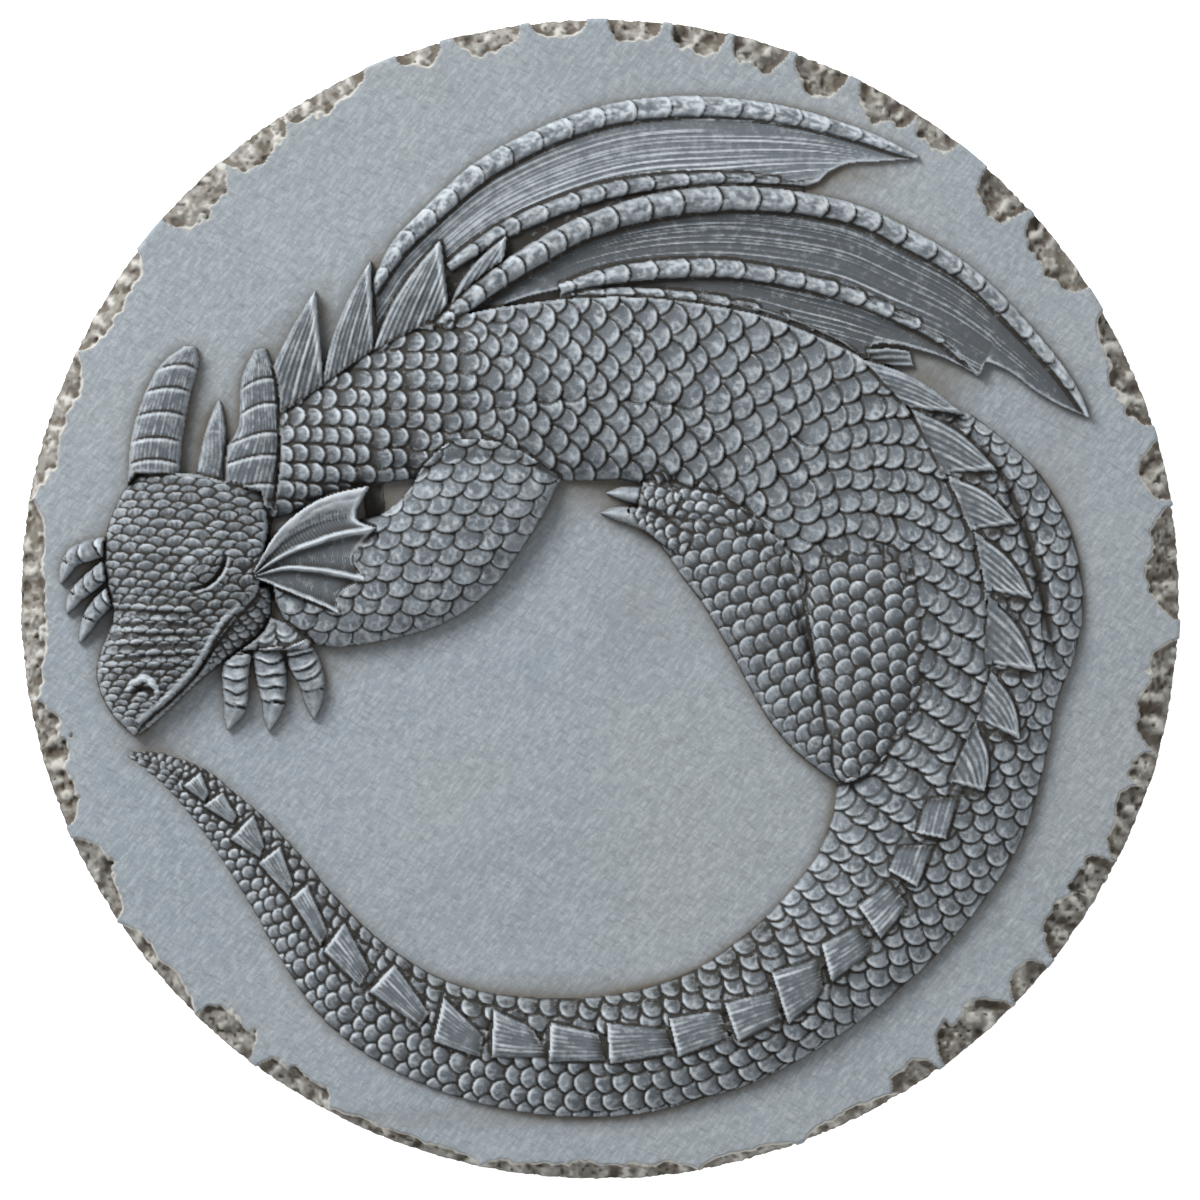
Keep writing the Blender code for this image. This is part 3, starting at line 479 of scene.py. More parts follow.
def place_scales(grid, count, skin, from_far=False, keep=None):
    """Positions and headings of overlapping scales on a drawn form, in the order in which they are laid.

    Rows run along the form at even distances from its first edge, or from its last one."""
    rows, columns = grid.shape[:2]
    if from_far:
        grid = grid[:, ::-1]
    station = np.linspace(0, count - 1, rows)
    gap, step, bearing = (stepwise(table, station) for table in (skin.gap, skin.pitch, skin.bearing))
    width = np.maximum(np.hypot(*(grid[:, -1] - grid[:, 0]).T), 1e-6)
    crosswise = (grid[:, -1] - grid[:, 0]) / width[:, None]
    gone = travelled(grid[:, columns // 2])
    found = []
    for k in range(int((width / gap).max()) + 2):
        lines = []
        for row in (k + skin.first, k // LEADER_ROWS * LEADER_ROWS + LEADER_ROWS / 2):
            place = np.clip(row * gap / width, 0, 1) * (columns - 1)
            i = np.minimum(place.astype(int), columns - 2)
            u = (place - i)[:, None]
            lines.append(grid[np.arange(rows), i] * (1 - u) + grid[np.arange(rows), i + 1] * u)
        line, leader = lines
        share = (k + skin.first) * gap / width
        run = travelled(leader, 0.5 * (step[1:] + step[:-1]))
        slope = np.gradient(line, axis=0)
        slope /= np.maximum(np.hypot(*slope.T), 1e-6)[:, None]
        for n in range(-1, int(run[-1]) + 2):
            where = n + (skin.stagger * k) % 1
            if where < 0 or where > run[-1]:
                continue
            j = int(round(float(np.interp(where, run, np.arange(rows)))))
            if share[j] > 1.0 + 0.3 * gap[j] / width[j]:
                continue
            seeds = np.array([k * 31.0 + n * 7.0 + columns, n * 3.0 + k, k - n * 5.0, n + k * 2.0])
            chance = hashed(seeds, rows)
            x, y = line[j] + (chance[:2] - 0.5) * skin.jitter * step[j]
            if keep and not keep(x, y):
                continue
            turned = np.radians(bearing[j] + np.array((0, STRAY_ANGLE * (chance[3] - 0.5))))
            (dx, tilted_x), (dy, tilted_y) = np.cos(turned), np.sin(turned)
            forward = dx * slope[j, 0] + dy * slope[j, 1]
            sideways = dx * crosswise[j, 0] + dy * crosswise[j, 1]
            far = (share[j] - 0.5) * width[j]
            if abs(forward) > 0.5:
                order = np.sign(forward) * (gone[j] + far * sideways / forward)
            else:
                order = np.sign(sideways) * (far + gone[j] * forward / sideways)
            found.append((-order, x, y, tilted_x, tilted_y, step[j], gap[j], chance[2]))
    found.sort()
    return found


def stamp(layers, box, place, heading, size, lift, chance, skin, crown):
    """Paints one scale with a rounded free edge over the ones already there."""
    height, tone, wash, pale = layers
    (x, y), (dx, dy), (length, width) = place, heading, size
    y0, x0 = box[0].start, box[1].start
    reach = max(length, width) + 3
    i0, i1 = max(int((x - reach) / CELL) - x0, 0), min(int((x + reach) / CELL) + 2 - x0, height.shape[1])
    j0, j1 = max(int((y - reach) / CELL) - y0, 0), min(int((y + reach) / CELL) + 2 - y0, height.shape[0])
    if i1 <= i0 or j1 <= j0:
        return
    px = (np.arange(i0, i1) + x0)[None, :] * CELL - x
    py = (np.arange(j0, j1) + y0)[:, None] * CELL - y
    u = px * dx + py * dy
    v = (py * dx - px * dy) / (width / 2)
    tip = skin.blunt * width
    rho = np.sqrt(v**2 + (np.maximum(u + tip, 0) / tip) ** 2)
    inside = (rho < 1) & (u > -length)
    ring = skin.crevice / (width / 2)
    beyond = ~inside & (rho < 1 + ring) & (u > -0.75 * length)
    rising = unit(1 + u / length)
    fall = unit(rho)
    level = lift * ((0.10 + 0.90 * rising) * (1 - crown * v**2) - 0.16 * fall**4 - 0.20 * fall**16)
    rim = bell((rho - 1 + 0.60 * ring) / (0.42 * ring)) * (rising > 0.4)
    worn = unit(0.5 + 0.9 * noise(u / 5 + 40 * chance, 2.2 * v + 90 * chance, 51))
    brushed = 0.8 * noise(u / 8 + 60 * chance, 4.2 * v + 30 * chance, 52)
    brushed = brushed + 0.6 * noise(u / 3.2, 6.5 * v + 70 * chance, 53)
    body = unit(0.14 + 1.1 * brushed) * unit(2 * rising - 0.9) * (1 - fall**4)
    window = (slice(j0, j1), slice(i0, i1))
    edge = unit((1 - rho) / (0.5 * ring))
    # Dark ring just beyond the free edge: brown washing in the crevice together with painted shadow cast by
    # the edge.
    dark = 0.90 - 0.6 * (rho - 1) / ring
    # Painted shade towards the root of the scale, where the scale before it overlaps it, and just inside its
    # outline away from the pale rim.
    root_shade = 0.7 * unit(1.5 - 1.9 * rising) + 0.35 * (1 - edge) * (1 - rim)
    rubbed = rim * (0.3 + 0.7 * worn) * (0.55 + 0.45 * hashed(x, y)) + 0.80 * body
    height[window] = np.where(inside, level, height[window] - 0.10 * lift * beyond)
    tone[window] = np.where(inside, 2 * chance - 1, tone[window])
    around = np.where(beyond, np.maximum(dark, wash[window]), wash[window])
    wash[window] = np.where(inside, root_shade, around)
    pale[window] = np.where(inside, rubbed, np.where(beyond, 0.0, pale[window]))


def scaled(maps, base, box, group, scales, skin, on_top=True):
    """Lays a form with overlapping scales on the map. A scale may carry a crown of its own at its end."""
    lift = skin.lift
    layers = [np.full(base.shape, value) for value in (-0.1 * lift, 0.0, 0.8, 0.0)]
    for scale in scales:
        _, x, y, dx, dy, step, gap, chance = scale[:8]
        long_size, wide_size = (2 * gap, step / 2) if skin.by_pitch else (step, gap)
        ratio = long_size / wide_size
        wide = wide_size * np.interp(ratio, (1.0, 1.45, 2.4, 3.4), (1.25, 1.85, 2.08, 2.08))
        wide = wide * skin.full * (0.95 + 0.12 * chance)
        long = long_size * np.interp(ratio, (1.0, 1.45, 3.0), (1.5, 1.38, 1.15)) * skin.longer
        shown = min(long_size, 1.5 * wide_size) * 0.5
        size = np.clip(wide / 26, 0.40, 1.15)
        place = (x + shown * dx, y + shown * dy)
        rise = lift * size * (0.85 + 0.3 * hashed(x, y))
        crown = (*scale, skin.crown)[8]
        stamp(layers, box, place, (dx, dy), (long, wide), rise, chance, skin, crown)
    height, tone, wash, pale = layers
    wash = wash + 0.8 * skin.shade
    pale = pale * (1 - 0.9 * skin.shade)
    maps.lay(box, base + height - 0.5 * lift, group, on_top, ground=base, tone=tone, wash=wash, pale=pale)


BONE_BULGE = 6.0


def bone(maps, path, height, joints, on_top=False, shade=0.0):
    """Wing bone made of overlapping segments whose rounded ends point to the tip."""
    line = smooth(path, 200)
    run = travelled(line[:, :2])
    stops = np.interp(joints, line[:, 0], run)
    stops = np.concatenate(([0.0], stops[(stops > 2) & (stops < run[-1] - 2)], [run[-1] + 8]))
    box, along, side = chart(ribbon(path, 240, 9))
    across_bone = 2 * side - 1
    place = np.nan_to_num(along * run[-1] + BONE_BULGE * across_bone**2, nan=-1.0)
    segment = np.clip(np.searchsorted(stops, place) - 1, 0, len(stops) - 2)
    before = place - stops[segment]
    after = stops[segment + 1] - place
    part = unit(before / (stops[segment + 1] - stops[segment]))
    step = 0.78 + 0.22 * part - 0.10 * np.exp(-after / 1.2) + 0.05 * noise(place / 7, side * 3, 5)
    level = height * (0.40 + 0.60 * dome(across_bone, 2.4)) * (1 - 0.45 * along**2) * step
    gap = bell(before / 2.0)
    lip = bell((after - 2.2) / 1.3)
    patchy = 0.20 + 0.8 * noise(place / 8, side * 6, 6) + 0.7 * noise(place / 3, side * 10, 7) + 0.3 * part
    patchy = unit(patchy) * unit(1.6 - 1.5 * np.abs(across_bone + 0.1))
    pale = (0.75 * lip * unit(0.6 + noise(place / 4, side * 6, 9)) + 0.75 * patchy) * (1 - shade)
    wash = 1.0 * gap + shade + 0.9 * unit(np.abs(across_bone) * 3.2 - 2.2)
    maps.lay(box, level, WING_GROUP, on_top, tone=0.5 * hashed(segment, len(path)), wash=wash, pale=pale)


def streaks(along, side, lanes, seed, width):
    """Raised lengthwise lines that come and go, as a share of their full height."""
    total = np.zeros(along.shape)
    for k, (density, weight) in enumerate(((lanes, 0.6), (1.5 * lanes, 0.55), (2.3 * lanes, 0.4))):
        lane = side * density + 0.25 * np.sin(2.6 * along + seed + 2 * k)
        number = np.floor(lane)
        middle = 0.35 + 0.3 * hashed(number, np.full_like(number, seed + k))
        line = bell((lane - number - middle) / (0.16 + 0.05 * k))
        shift = 13 * hashed(number, np.full_like(number, seed + 7))
        comes = noise(along * 6 + shift, number, seed + k + 3)
        total += weight * line * unit(0.38 + 1.2 * comes) * unit(width / density / 1.2 - 1.7)
    return total


MEMBRANE_POINTS = 200
MEMBRANE_BLUR = 40
STREAK_RISE = 0.0006


def membrane(maps, first, second, trailing, height, seed, lanes, brightness):
    """Wing skin between two bones, which ends in a scalloped edge."""
    upper = smooth([point[:2] for point in first], MEMBRANE_POINTS)
    lower = smooth([point[:2] for point in second + trailing[1:]], MEMBRANE_POINTS)
    box, along, side = chart(across((upper, lower), 40))
    level = height * (1.25 - 0.7 * np.sin(np.pi * side) + 0.1 * along)
    width = np.hypot(*(upper - lower).T)
    window = 2 * MEMBRANE_BLUR + 1
    steady = np.convolve(np.pad(width, MEMBRANE_BLUR, "edge"), np.ones(window) / window, "valid")
    share, known = np.nan_to_num(along), np.linspace(0, 1, MEMBRANE_POINTS)
    width, steady = (np.interp(share, known, values) for values in (width, steady))
    lines = streaks(along, side * width / steady, lanes, seed, steady)
    level = level + STREAK_RISE * lines - 0.0002
    shade = 0.55 * unit(1 - 9 * side) + 0.45 * unit(1 - 9 * (1 - side))
    wash = shade + (0.30 - 0.24 * brightness) * (1 - lines)
    pale = unit(1.1 * lines - 0.05 + 0.25 * brightness) * (0.32 + 0.60 * brightness)
    maps.lay(box, level, WING_GROUP, on_top=False, tone=2.4 * brightness - 1.2, wash=wash, pale=pale)


# Joints are the places to the right at which a new segment of the bone starts.
FAR_JOINTS = (386, 398, 412, 434, 455, 482, 512, 542, 573, 605, 637, 672, 705, 742, 775, 802, 830, 862, 888)
FAR_SECOND_JOINTS = (478, 505, 520, 548, 580, 605, 628, 655, 690, 725, 755, 780)
NEAR_JOINTS = (
    454, 467, 483, 505, 523, 546, 565, 590, 618, 652, 684, 722, 760, 795, 828, 855, 880, 905, 935, 960, 982,
    1005, 1030, 1052, 1072,
)
NEAR_SECOND_JOINTS = (575, 605, 630, 658, 690, 715, 745, 775, 805, 838, 865, 893, 920, 945, 965)
THIRD_JOINTS = (575, 605, 635, 665, 697, 730, 760, 790, 815, 838, 860)
NEAR_BONE_ROOT = (440, 328, 8)
FAR_ROOT = ((380, 345), (425, 300))
NEAR_ROOT = ((452, 336), (500, 308), (530, 297))
WING_GAP = (
    ((430, 334), (500, 268), (560, 238), (640, 208), (700, 198), (800, 198)),
    ((400, 330), (478, 247), (520, 223), (628, 187), (690, 180), (806, 184)),
)
WING_GAP_HEIGHT = 0.0010


def wings(maps):
    """Both wings but for the leading bone of the near one, which lies over the neck plates."""
    second = FAR_ROOT + FAR_SECOND_BONE
    membrane(maps, FAR_BONE, second, FAR_TRAILING, FAR_MEMBRANE_RELIEF, seed=11, lanes=13, brightness=0.8)
    # Low strip between the far wing's second bone and the near bone, painted dark to stand for the shade in
    # that gap.
    box, along, _ = chart(across([smooth(line, 80) for line in WING_GAP], 12))
    maps.lay(box, WING_GAP_HEIGHT + 0 * along, WING_GROUP, on_top=False, tone=-0.5, wash=0.9)
    bone(maps, FAR_SECOND_BONE, FAR_BONE_RELIEF * 0.85, FAR_SECOND_JOINTS, shade=0.28)
    bone(maps, FAR_BONE, FAR_BONE_RELIEF, FAR_JOINTS, shade=-0.1)
    height = NEAR_MEMBRANE_RELIEF
    membrane(maps, NEAR_SECOND_BONE, THIRD_BONE, THIRD_TRAILING, height, seed=23, lanes=8, brightness=0.08)
    second = NEAR_ROOT + NEAR_SECOND_BONE
    membrane(maps, NEAR_BONE, second, NEAR_TRAILING, height, seed=37, lanes=12, brightness=0.10)
    bone(maps, THIRD_BONE, NEAR_BONE_RELIEF * 0.62, THIRD_JOINTS, shade=0.25)
    bone(maps, NEAR_SECOND_BONE, NEAR_BONE_RELIEF * 0.8, NEAR_SECOND_JOINTS, shade=0.2)


def stations(table, rows, columns, curves):
    """Grid of a form given by matched cross-sections."""
    table = np.asarray(table, float)
    lines = [smooth(table[:, 2 * k : 2 * k + 2], rows, by_length=False) for k in range(curves)]
    return across(lines, columns)


BODY_SKIN = Skin(
    gap=(
        (0, 19), (4, 17), (10, 18), (12, 14), (14, 11.5), (16, 14), (18, 17), (20, 18.5), (22, 18), (24, 17),
        (26, 17.5), (30, 16.5), (33, 13), (36, 10), (39, 7),
    ),
    pitch=(
        (0, 19), (4, 21), (7, 26), (10, 28), (12, 31), (14, 35), (16, 32), (18, 28), (20, 25), (22, 24),
        (24, 22.5), (26, 20), (30, 18.5), (33, 15), (36, 12), (39, 8),
    ),
    bearing=(
        (0, 5), (4, 12), (7, 27), (9, 34), (11, 48), (13, 62), (16, 78), (18, 88), (20, 93), (22, 97),
        (24, 112), (26, 126), (28, 136), (30, 150), (32, 188), (34, 214), (37, 220), (39, 215),
    ),
    lift=0.0020, crown=0.5, crevice=2.5,
)
FAR_SKIN = Skin(
    gap=((0, 10), (6, 10.5), (9, 12.5), (12, 16), (14, 18), (17, 18), (20, 15), (23, 11), (27, 7)),
    pitch=((0, 28), (6, 30), (9, 30), (12, 23), (14, 20), (17, 18.5), (20, 16), (23, 12), (27, 8)),
    bearing=(
        (0, 55), (3, 76), (5, 92), (8, 92), (10, 96), (12, 112), (14, 138), (16, 160), (18, 188), (20, 212),
        (22, 224), (27, 220),
    ),
    lift=0.0020, crown=0.5, crevice=2.3,
)
NECK_SKIN = Skin(
    gap=((0, 18.5), (1, 20)), pitch=((0, 15), (1, 19)), bearing=((0, -14), (1, 12)), lift=0.0020,
    stagger=0.04, jitter=0.26, crown=0.6,
)
NECK_FRAME = ((250, 338, 250, 528), (482, 338, 482, 528))
NECK_NARROWING = 0.86
TRUNK_END = 18.6
FAR_SPLIT = 706


def behind_neck(x, y):
    """Whether a scale of the body lies outside the square field of the neck."""
    return x > 478 or y > 560 or y < 334


def cell_places(box):
    """Drawn x and y of each cell in a box of the maps."""
    y, x = np.mgrid[box] * CELL
    return x, y


def body(maps):
    """Neck, trunk and tail: the side that turns away, then the near side with the neck's own scales."""
    spine = np.array([(*row[:2], row[4]) for row in NEAR_BODY[FAR_START:]])
    spine[0, :2] = FAR_FIRST_SPINE
    table = np.hstack((FAR_EDGE, spine))
    far_grid = stations(table, 420, 18, 2)
    far_box, along, far_side = chart(far_grid)
    far_base = TRUNK_RELIEF * ends(along, table[:, 4]) * dome(1 - far_side)
    far_scales = place_scales(far_grid, len(table), FAR_SKIN, from_far=True)
    table = np.asarray(NEAR_BODY)
    grid = stations(table, 600, 26, 2)
    box, along, side = chart(grid)
    height, crown, place = (ends(along, table[:, column]) for column in (4, 5, 6))
    rising = height + (crown - height) * np.sin(np.pi / 2 * unit(side / place))
    falling = crown * dome((side - place) / (1 - place))
    base = TRUNK_RELIEF * np.where(side < place, rising, falling)
    group = np.where(along < TRUNK_END / (len(table) - 1), TRUNK_GROUP, TAIL_GROUP)
    scales = place_scales(grid, len(table), BODY_SKIN, keep=behind_neck)
    neck = place_scales(stations(NECK_FRAME, 60, 12, 2), 2, NECK_SKIN)
    neck = [(*scale[:6], NECK_NARROWING * scale[6], scale[7], NECK_SKIN.crown) for scale in neck]
    scaled(maps, base, box, group, scales + neck, BODY_SKIN, on_top=False)
    x, _ = cell_places(box)
    maps.wash[box] += 0.14 * unit((500 - x) / 60) * (maps.relief[box] > 0.004)
    inner = np.nan_to_num(unit(2.5 * side - 1.0)) * unit(40 * np.nan_to_num(along) - 23)
    maps.wash[box] += 0.70 * inner
    maps.pale[box] *= 1 - 0.65 * inner
    group = np.where(cell_places(far_box)[1] < FAR_SPLIT, BACK_GROUP, TAIL_GROUP)
    scaled(maps, far_base, far_box, group, far_scales, FAR_SKIN, on_top=False)
    # Darker and less rubbed towards the spine on the far side: painted shade under the back plates, with
    # brown washing.
    under = np.nan_to_num(unit(2.4 * far_side - 0.9))
    maps.wash[far_box] += 0.20 * under
    maps.pale[far_box] *= 1 - 0.35 * under
    groove(maps, FLANK_CREASE, width=9, depth=CREASE_DEPTH * 1.3)


def ridge_share(ribbon_grid, fade=0.5):
    """Box of a ribbon and a share that is 1 on its middle line and 0 at its edges and ends."""
    box, along, side = chart(ribbon_grid)
    return box, np.nan_to_num(arch(side, 2.0) * np.sin(np.pi * unit(along)) ** fade)


def groove(maps, path, width, depth, dark=0.9):
    """Sharp crease, darkened with brown washing and painted shade."""
    box, along, side = chart(ribbon([(x, y, width) for x, y in path], 80))
    share = np.nan_to_num((1 - np.abs(2 * side - 1)) * np.sin(np.pi * unit(along)) ** 0.5)
    maps.relief[box] -= depth * share
    maps.wash[box] = np.maximum(maps.wash[box], dark * unit(1.6 * share - 0.2))
    maps.pale[box] *= 1 - unit(1.5 * share)


def ridged(wave, seed, least=0.45):
    """Sharp ridges, one for each whole step of the wave and each of its own height."""
    number = np.floor(np.nan_to_num(wave))
    return np.abs(np.sin(np.pi * wave)) ** 0.8 * (least + (1 - least) * hashed(number, seed)), number


def plate(maps, root_a, root_b, tip, rise, floor, ridges, group, seed, bulge):
    """Three-cornered plate with ridges that run from its root towards its tip."""
    root_a, root_b, tip = (np.array(point, float) for point in (root_a, root_b, tip))
    share = np.linspace(0, 0.985, 40)[:, None]
    away = np.array((root_a[1] - tip[1], tip[0] - root_a[0]))
    away *= np.sign(away @ (root_a - root_b)) / np.hypot(*away)
    first = root_a + share * (tip - root_a) + bulge * np.sin(np.pi * share) * away
    box, along, side = chart(across((first, root_b + share * (tip - root_b)), 30))
    wave = ridges * side * (1 - 0.55 * along) + 0.12 * np.sin(5 * along + seed) + 0.1 * hashed(seed + 1.0)
    lines, number = ridged(wave, seed)
    edge = np.minimum(side, 1 - side) * (1 - along)
    level = floor + rise * (0.50 + 0.25 * arch(side) + 0.20 * lines) * unit(0.6 + along)
    level -= 0.3 * rise * unit(1 - edge * 26)
    level = np.where(along < 0.14, np.maximum(level, maps.ground[box] + 0.0004), level)
    rim = bell((1 - side) * (1 - along) * 34 - 1.3) * unit(8 * along - 0.6)
    worn = unit(0.45 + 1.2 * noise(along * 7, wave * 1.3, seed + 60))
    wash = 0.08 + 0.6 * unit(0.40 - lines) + 0.3 * unit(1 - 8 * along)
    pale = 0.8 * unit(1.1 * lines - 0.3) * worn * (0.3 + 0.7 * hashed(number, seed + 3)) + 0.75 * rim
    maps.lay(box, level, group, ground=floor + 0 * level, tone=-0.1, wash=wash, pale=pale)


def shadow(maps, points, strength, spread):
    """Dark band along a line: painted shade in a fold or below an edge, together with brown washing."""
    box, along, side = chart(ribbon([(x, y, spread) for x, y in points], 50))
    share = strength * np.nan_to_num(arch(side, 2.0) * arch(along, 4.0))
    maps.wash[box] = np.maximum(maps.wash[box], share)
    maps.pale[box] *= 1 - share


# Scales of a form lie on a straight frame of their own where the form itself is curved.
ARM_FRAME = ((240, 436, 240, 662), (575, 436, 575, 662))
ARM_SKIN = Skin(
    gap=((0, 16.5), (1, 17)), pitch=((0, 24), (1, 27)), bearing=((0, 96), (1, 68)), lift=0.0019,
    by_pitch=True, blunt=0.40, full=1.15,
)
ARM_HEIGHTS = (0.25, 0.8, 0.95, 1.0, 1.0, 1.0, 0.98, 0.95, 0.92, 0.88, 0.84, 0.8)
SHIN_SKIN = Skin(
    gap=((0, 14), (2, 16.5), (10, 16)), pitch=((0, 15), (2, 16.5), (10, 18)),
    bearing=((0, 230), (4, 236), (10, 226)), lift=0.0015, stagger=0.12, jitter=0.24, crown=0.45,
    crevice=1.9, blunt=0.44, full=1.02, shade=0.20,
)
SHIN_HEIGHTS = (0.7, 0.8, 0.9, 1.0, 1.0, 1.0, 0.95, 0.6)
THIGH_FRAME = ((800, 526, 944, 526), (800, 600, 944, 600), (806, 700, 944, 700), (815, 790, 940, 790))
THIGH_SKIN = Skin(
    gap=((0, 18), (3, 18)), pitch=((0, 15.5), (1, 16.5), (3, 17)), bearing=((0, 262), (1, 240), (3, 222)),
    lift=0.0015, stagger=0.35, jitter=0.3, crown=0.45, crevice=1.9, blunt=0.42, full=0.86, longer=0.95,
    shade=0.16,
)
KNEE_FOLD = ((797, 560), (802, 590), (807, 620), (811, 640))
FOOT_BACK = ((640, 498, 16), (668, 503, 22), (700, 508, 24), (730, 512, 24), (752, 526, 16))
FOOT_SKIN = Skin(
    gap=((0, 10), (4, 13)), pitch=((0, 12), (4, 15)), bearing=((0, 215), (4, 245)), lift=0.0012,
    crown=0.7, crevice=2.4,
)
TOES = (
    ((676, 506, 12), (660, 499, 11), (640, 496, 10), (606, 493, 1)),
    ((688, 545, 11), (670, 536, 11), (650, 522, 10), (628, 515, 9), (601, 513, 1)),
)
TOE_GAP = ((606, 503), (625, 505), (642, 506), (655, 512))
TOE_SKIN = Skin(
    gap=((0, 11), (1, 9.5)), pitch=((0, 13), (1, 12)), bearing=((0, 208), (1, 192)), lift=0.0019,
    first=0.45, crevice=2.6, blunt=0.42, shade=0.18,
)


def arm(maps):
    """Near arm, from the shoulder to the wrist."""
    box, along, side = chart(stations(ARM, 260, 24, 2))
    base = ARM_RELIEF * ends(along, ARM_HEIGHTS) * arch(side, 2.6) + 0.0004
    base = np.fmax(base, maps.ground[box] + 0 * along)
    scaled(maps, base, box, HEAD_GROUP, place_scales(stations(ARM_FRAME, 60, 30, 2), 2, ARM_SKIN), ARM_SKIN)


def leg(maps):
    """Shin, with the thigh over it and the fold of the knee."""
    grid = stations(SHIN, 160, 20, 2)
    box, along, side = chart(grid)
    base = np.maximum(SHIN_RELIEF * ends(along, SHIN_HEIGHTS) * arch(side, 2.6), 1.02 * maps.ground[box])
    scaled(maps, base, box, LEG_GROUP, place_scales(grid, len(SHIN), SHIN_SKIN), SHIN_SKIN)
    edge = smooth(THIGH + THIGH[:1], 90)
    share = np.linspace(0, 1, 20)[None, :, None]
    box, _, side = chart(np.array(THIGH_CENTRE) + share * (edge[:, None] - np.array(THIGH_CENTRE)))
    base = THIGH_RELIEF * (0.62 + 0.38 * dome(side, 2.0))
    scales = place_scales(stations(THIGH_FRAME, 200, 20, 2), len(THIGH_FRAME), THIGH_SKIN)
    scaled(maps, base, box, LEG_GROUP, scales, THIGH_SKIN, on_top=False)
    shadow(maps, KNEE_FOLD, strength=0.9, spread=2.6)


def foot(maps):
    """Hind foot with its small toe behind and two clawed toes in front."""
    box, _, side = chart(ribbon(FOOT_BACK, 60, 9))
    base = FOOT_RELIEF * (0.45 + 0.60 * arch(side))
    scales = place_scales(ribbon(FOOT_BACK, 90, 9), len(FOOT_BACK), FOOT_SKIN)
    scaled(maps, base, box, LEG_GROUP, scales, FOOT_SKIN, on_top=False)
    box, along, side = chart(ribbon(SMALL_TOE, 40, 9))
    part = (4 * along) % 1
    level = FOOT_RELIEF * (0.5 + 0.5 * arch(side)) * (0.92 - 0.16 * part)
    maps.lay(box, level, LEG_GROUP, on_top=False, tone=-0.6, wash=0.5 + 0.5 * (part > 0.7))
    for toe in TOES:
        grid = ribbon(toe[:-1], 60, 9)
        box, _, side = chart(grid)
        base = np.maximum(FOOT_RELIEF * (0.50 + 0.40 * arch(side)), maps.ground[box] + 0.0006 * arch(side))
        scaled(maps, base, box, LEG_GROUP, place_scales(grid, 2, TOE_SKIN), TOE_SKIN)
        claw(maps, toe, 0.9 * FOOT_RELIEF, LEG_GROUP)
    shadow(maps, TOE_GAP, strength=1.0, spread=3)


def digit(maps, path, height, bands, number, lean):
    """Finger of crossing plates that ends in a claw."""
    box, along, side = chart(ribbon(path[:-1], 60, 9))
    crosswise = 2 * side - 1
    place = bands * np.nan_to_num(along) - 0.30 * (1 - crosswise**2) + 0.3 + lean * crosswise
    place = place + 0.25 * np.nan_to_num(noise(side * 2.4 + number, along * bands * 1.2, 75))
    part = place % 1
    lip = bell((part - 0.84) / 0.10)
    gap = unit(unit((part - 0.93) / 0.04) + unit(1 - part / 0.08))
    edge = unit(np.abs(crosswise) * 3.2 - 2.2)
    worn = unit(0.5 + noise(place * 5, side * 4, number + 71))
    level = height * (0.32 + 0.68 * dome(crosswise, 2.2)) * (0.80 + 0.24 * part - 0.16 * gap)
    level = np.maximum(level, maps.ground[box] + 0.35 * level)
    wash = gap + 0.85 * edge + 0.12
    pale = 0.8 * lip * worn + 0.55 * worn * unit(1 - np.abs(crosswise + 0.15) * 1.6)
    pale = pale * (1 - edge) * (1 - gap)
    maps.lay(box, level, HEAD_GROUP, tone=0.3 * hashed(np.floor(place), number), wash=wash, pale=pale)
    claw(maps, path, height, HEAD_GROUP)


def claw(maps, path, height, group):
    """Pointed and slightly swollen claw at the end of a finger or toe."""
    (x, y, wide), (tip_x, tip_y, narrow) = path[-2:]
    middle = (0.45 * x + 0.55 * tip_x, 0.45 * y + 0.55 * tip_y - 1, 0.68 * wide)
    box, along, side = chart(ribbon(((x, y, wide), middle, (tip_x, tip_y, narrow)), 40))
    edge = unit(np.abs(2 * side - 1) * 3 - 2)
    level = height * (0.90 - 0.50 * along) * (0.35 + 0.65 * arch(side, 1.6))
    wash = 0.12 + 0.7 * edge + 0.95 * unit(1 - 9 * along)
    maps.lay(box, level, group, tone=0.2, wash=wash, pale=0.42 * unit(1 - np.abs(2 * side - 0.8) * 1.5))


HAND = (
    (216, 664, 246, 622), (228, 656, 262, 616), (250, 650, 284, 622), (278, 650, 300, 632),
    (308, 648, 312, 642),
)
HAND_SKIN = Skin(
    gap=((0, 12), (4, 11)), pitch=((0, 20), (4, 18)), bearing=((0, 95), (4, 80)), lift=0.0012, crown=0.7,
    crevice=2.6,
)
FRONT_FINGERS = 3
FRONT_BANDS = 3.9
SIDE_BANDS = 2.9


def paws(maps):
    """Back of the near hand and the fingers of both hands."""
    grid = stations(HAND, 60, 12, 2)
    box, along, side = chart(grid)
    base = PAW_RELIEF * (0.75 + 0.25 * arch(side)) + 0 * along
    scaled(maps, base, box, HEAD_GROUP, place_scales(grid, len(HAND), HAND_SKIN), HAND_SKIN)
    for number, finger in enumerate(FINGERS):
        bands = FRONT_BANDS if number < FRONT_FINGERS else SIDE_BANDS
        digit(maps, finger, PAW_RELIEF, bands, number, 0.08 if number else -0.10)


# Each horn has its rings, as distances from the top of the sheet, its number of ridges, the bow and the lean
# of its rings, and its height as a share. The last one is small and has no rings.
HORN_LOOKS = (
    ((460, 438, 412, 388, 365), 13, 5, 0, 1.0),
    ((486, 457, 434, 405, 380), 13, 5, 6, 1.0),
    ((430,), 6, 1, 0, 0.6),
)
HORN_FOOT, HORN_END = 502.0, 340.0


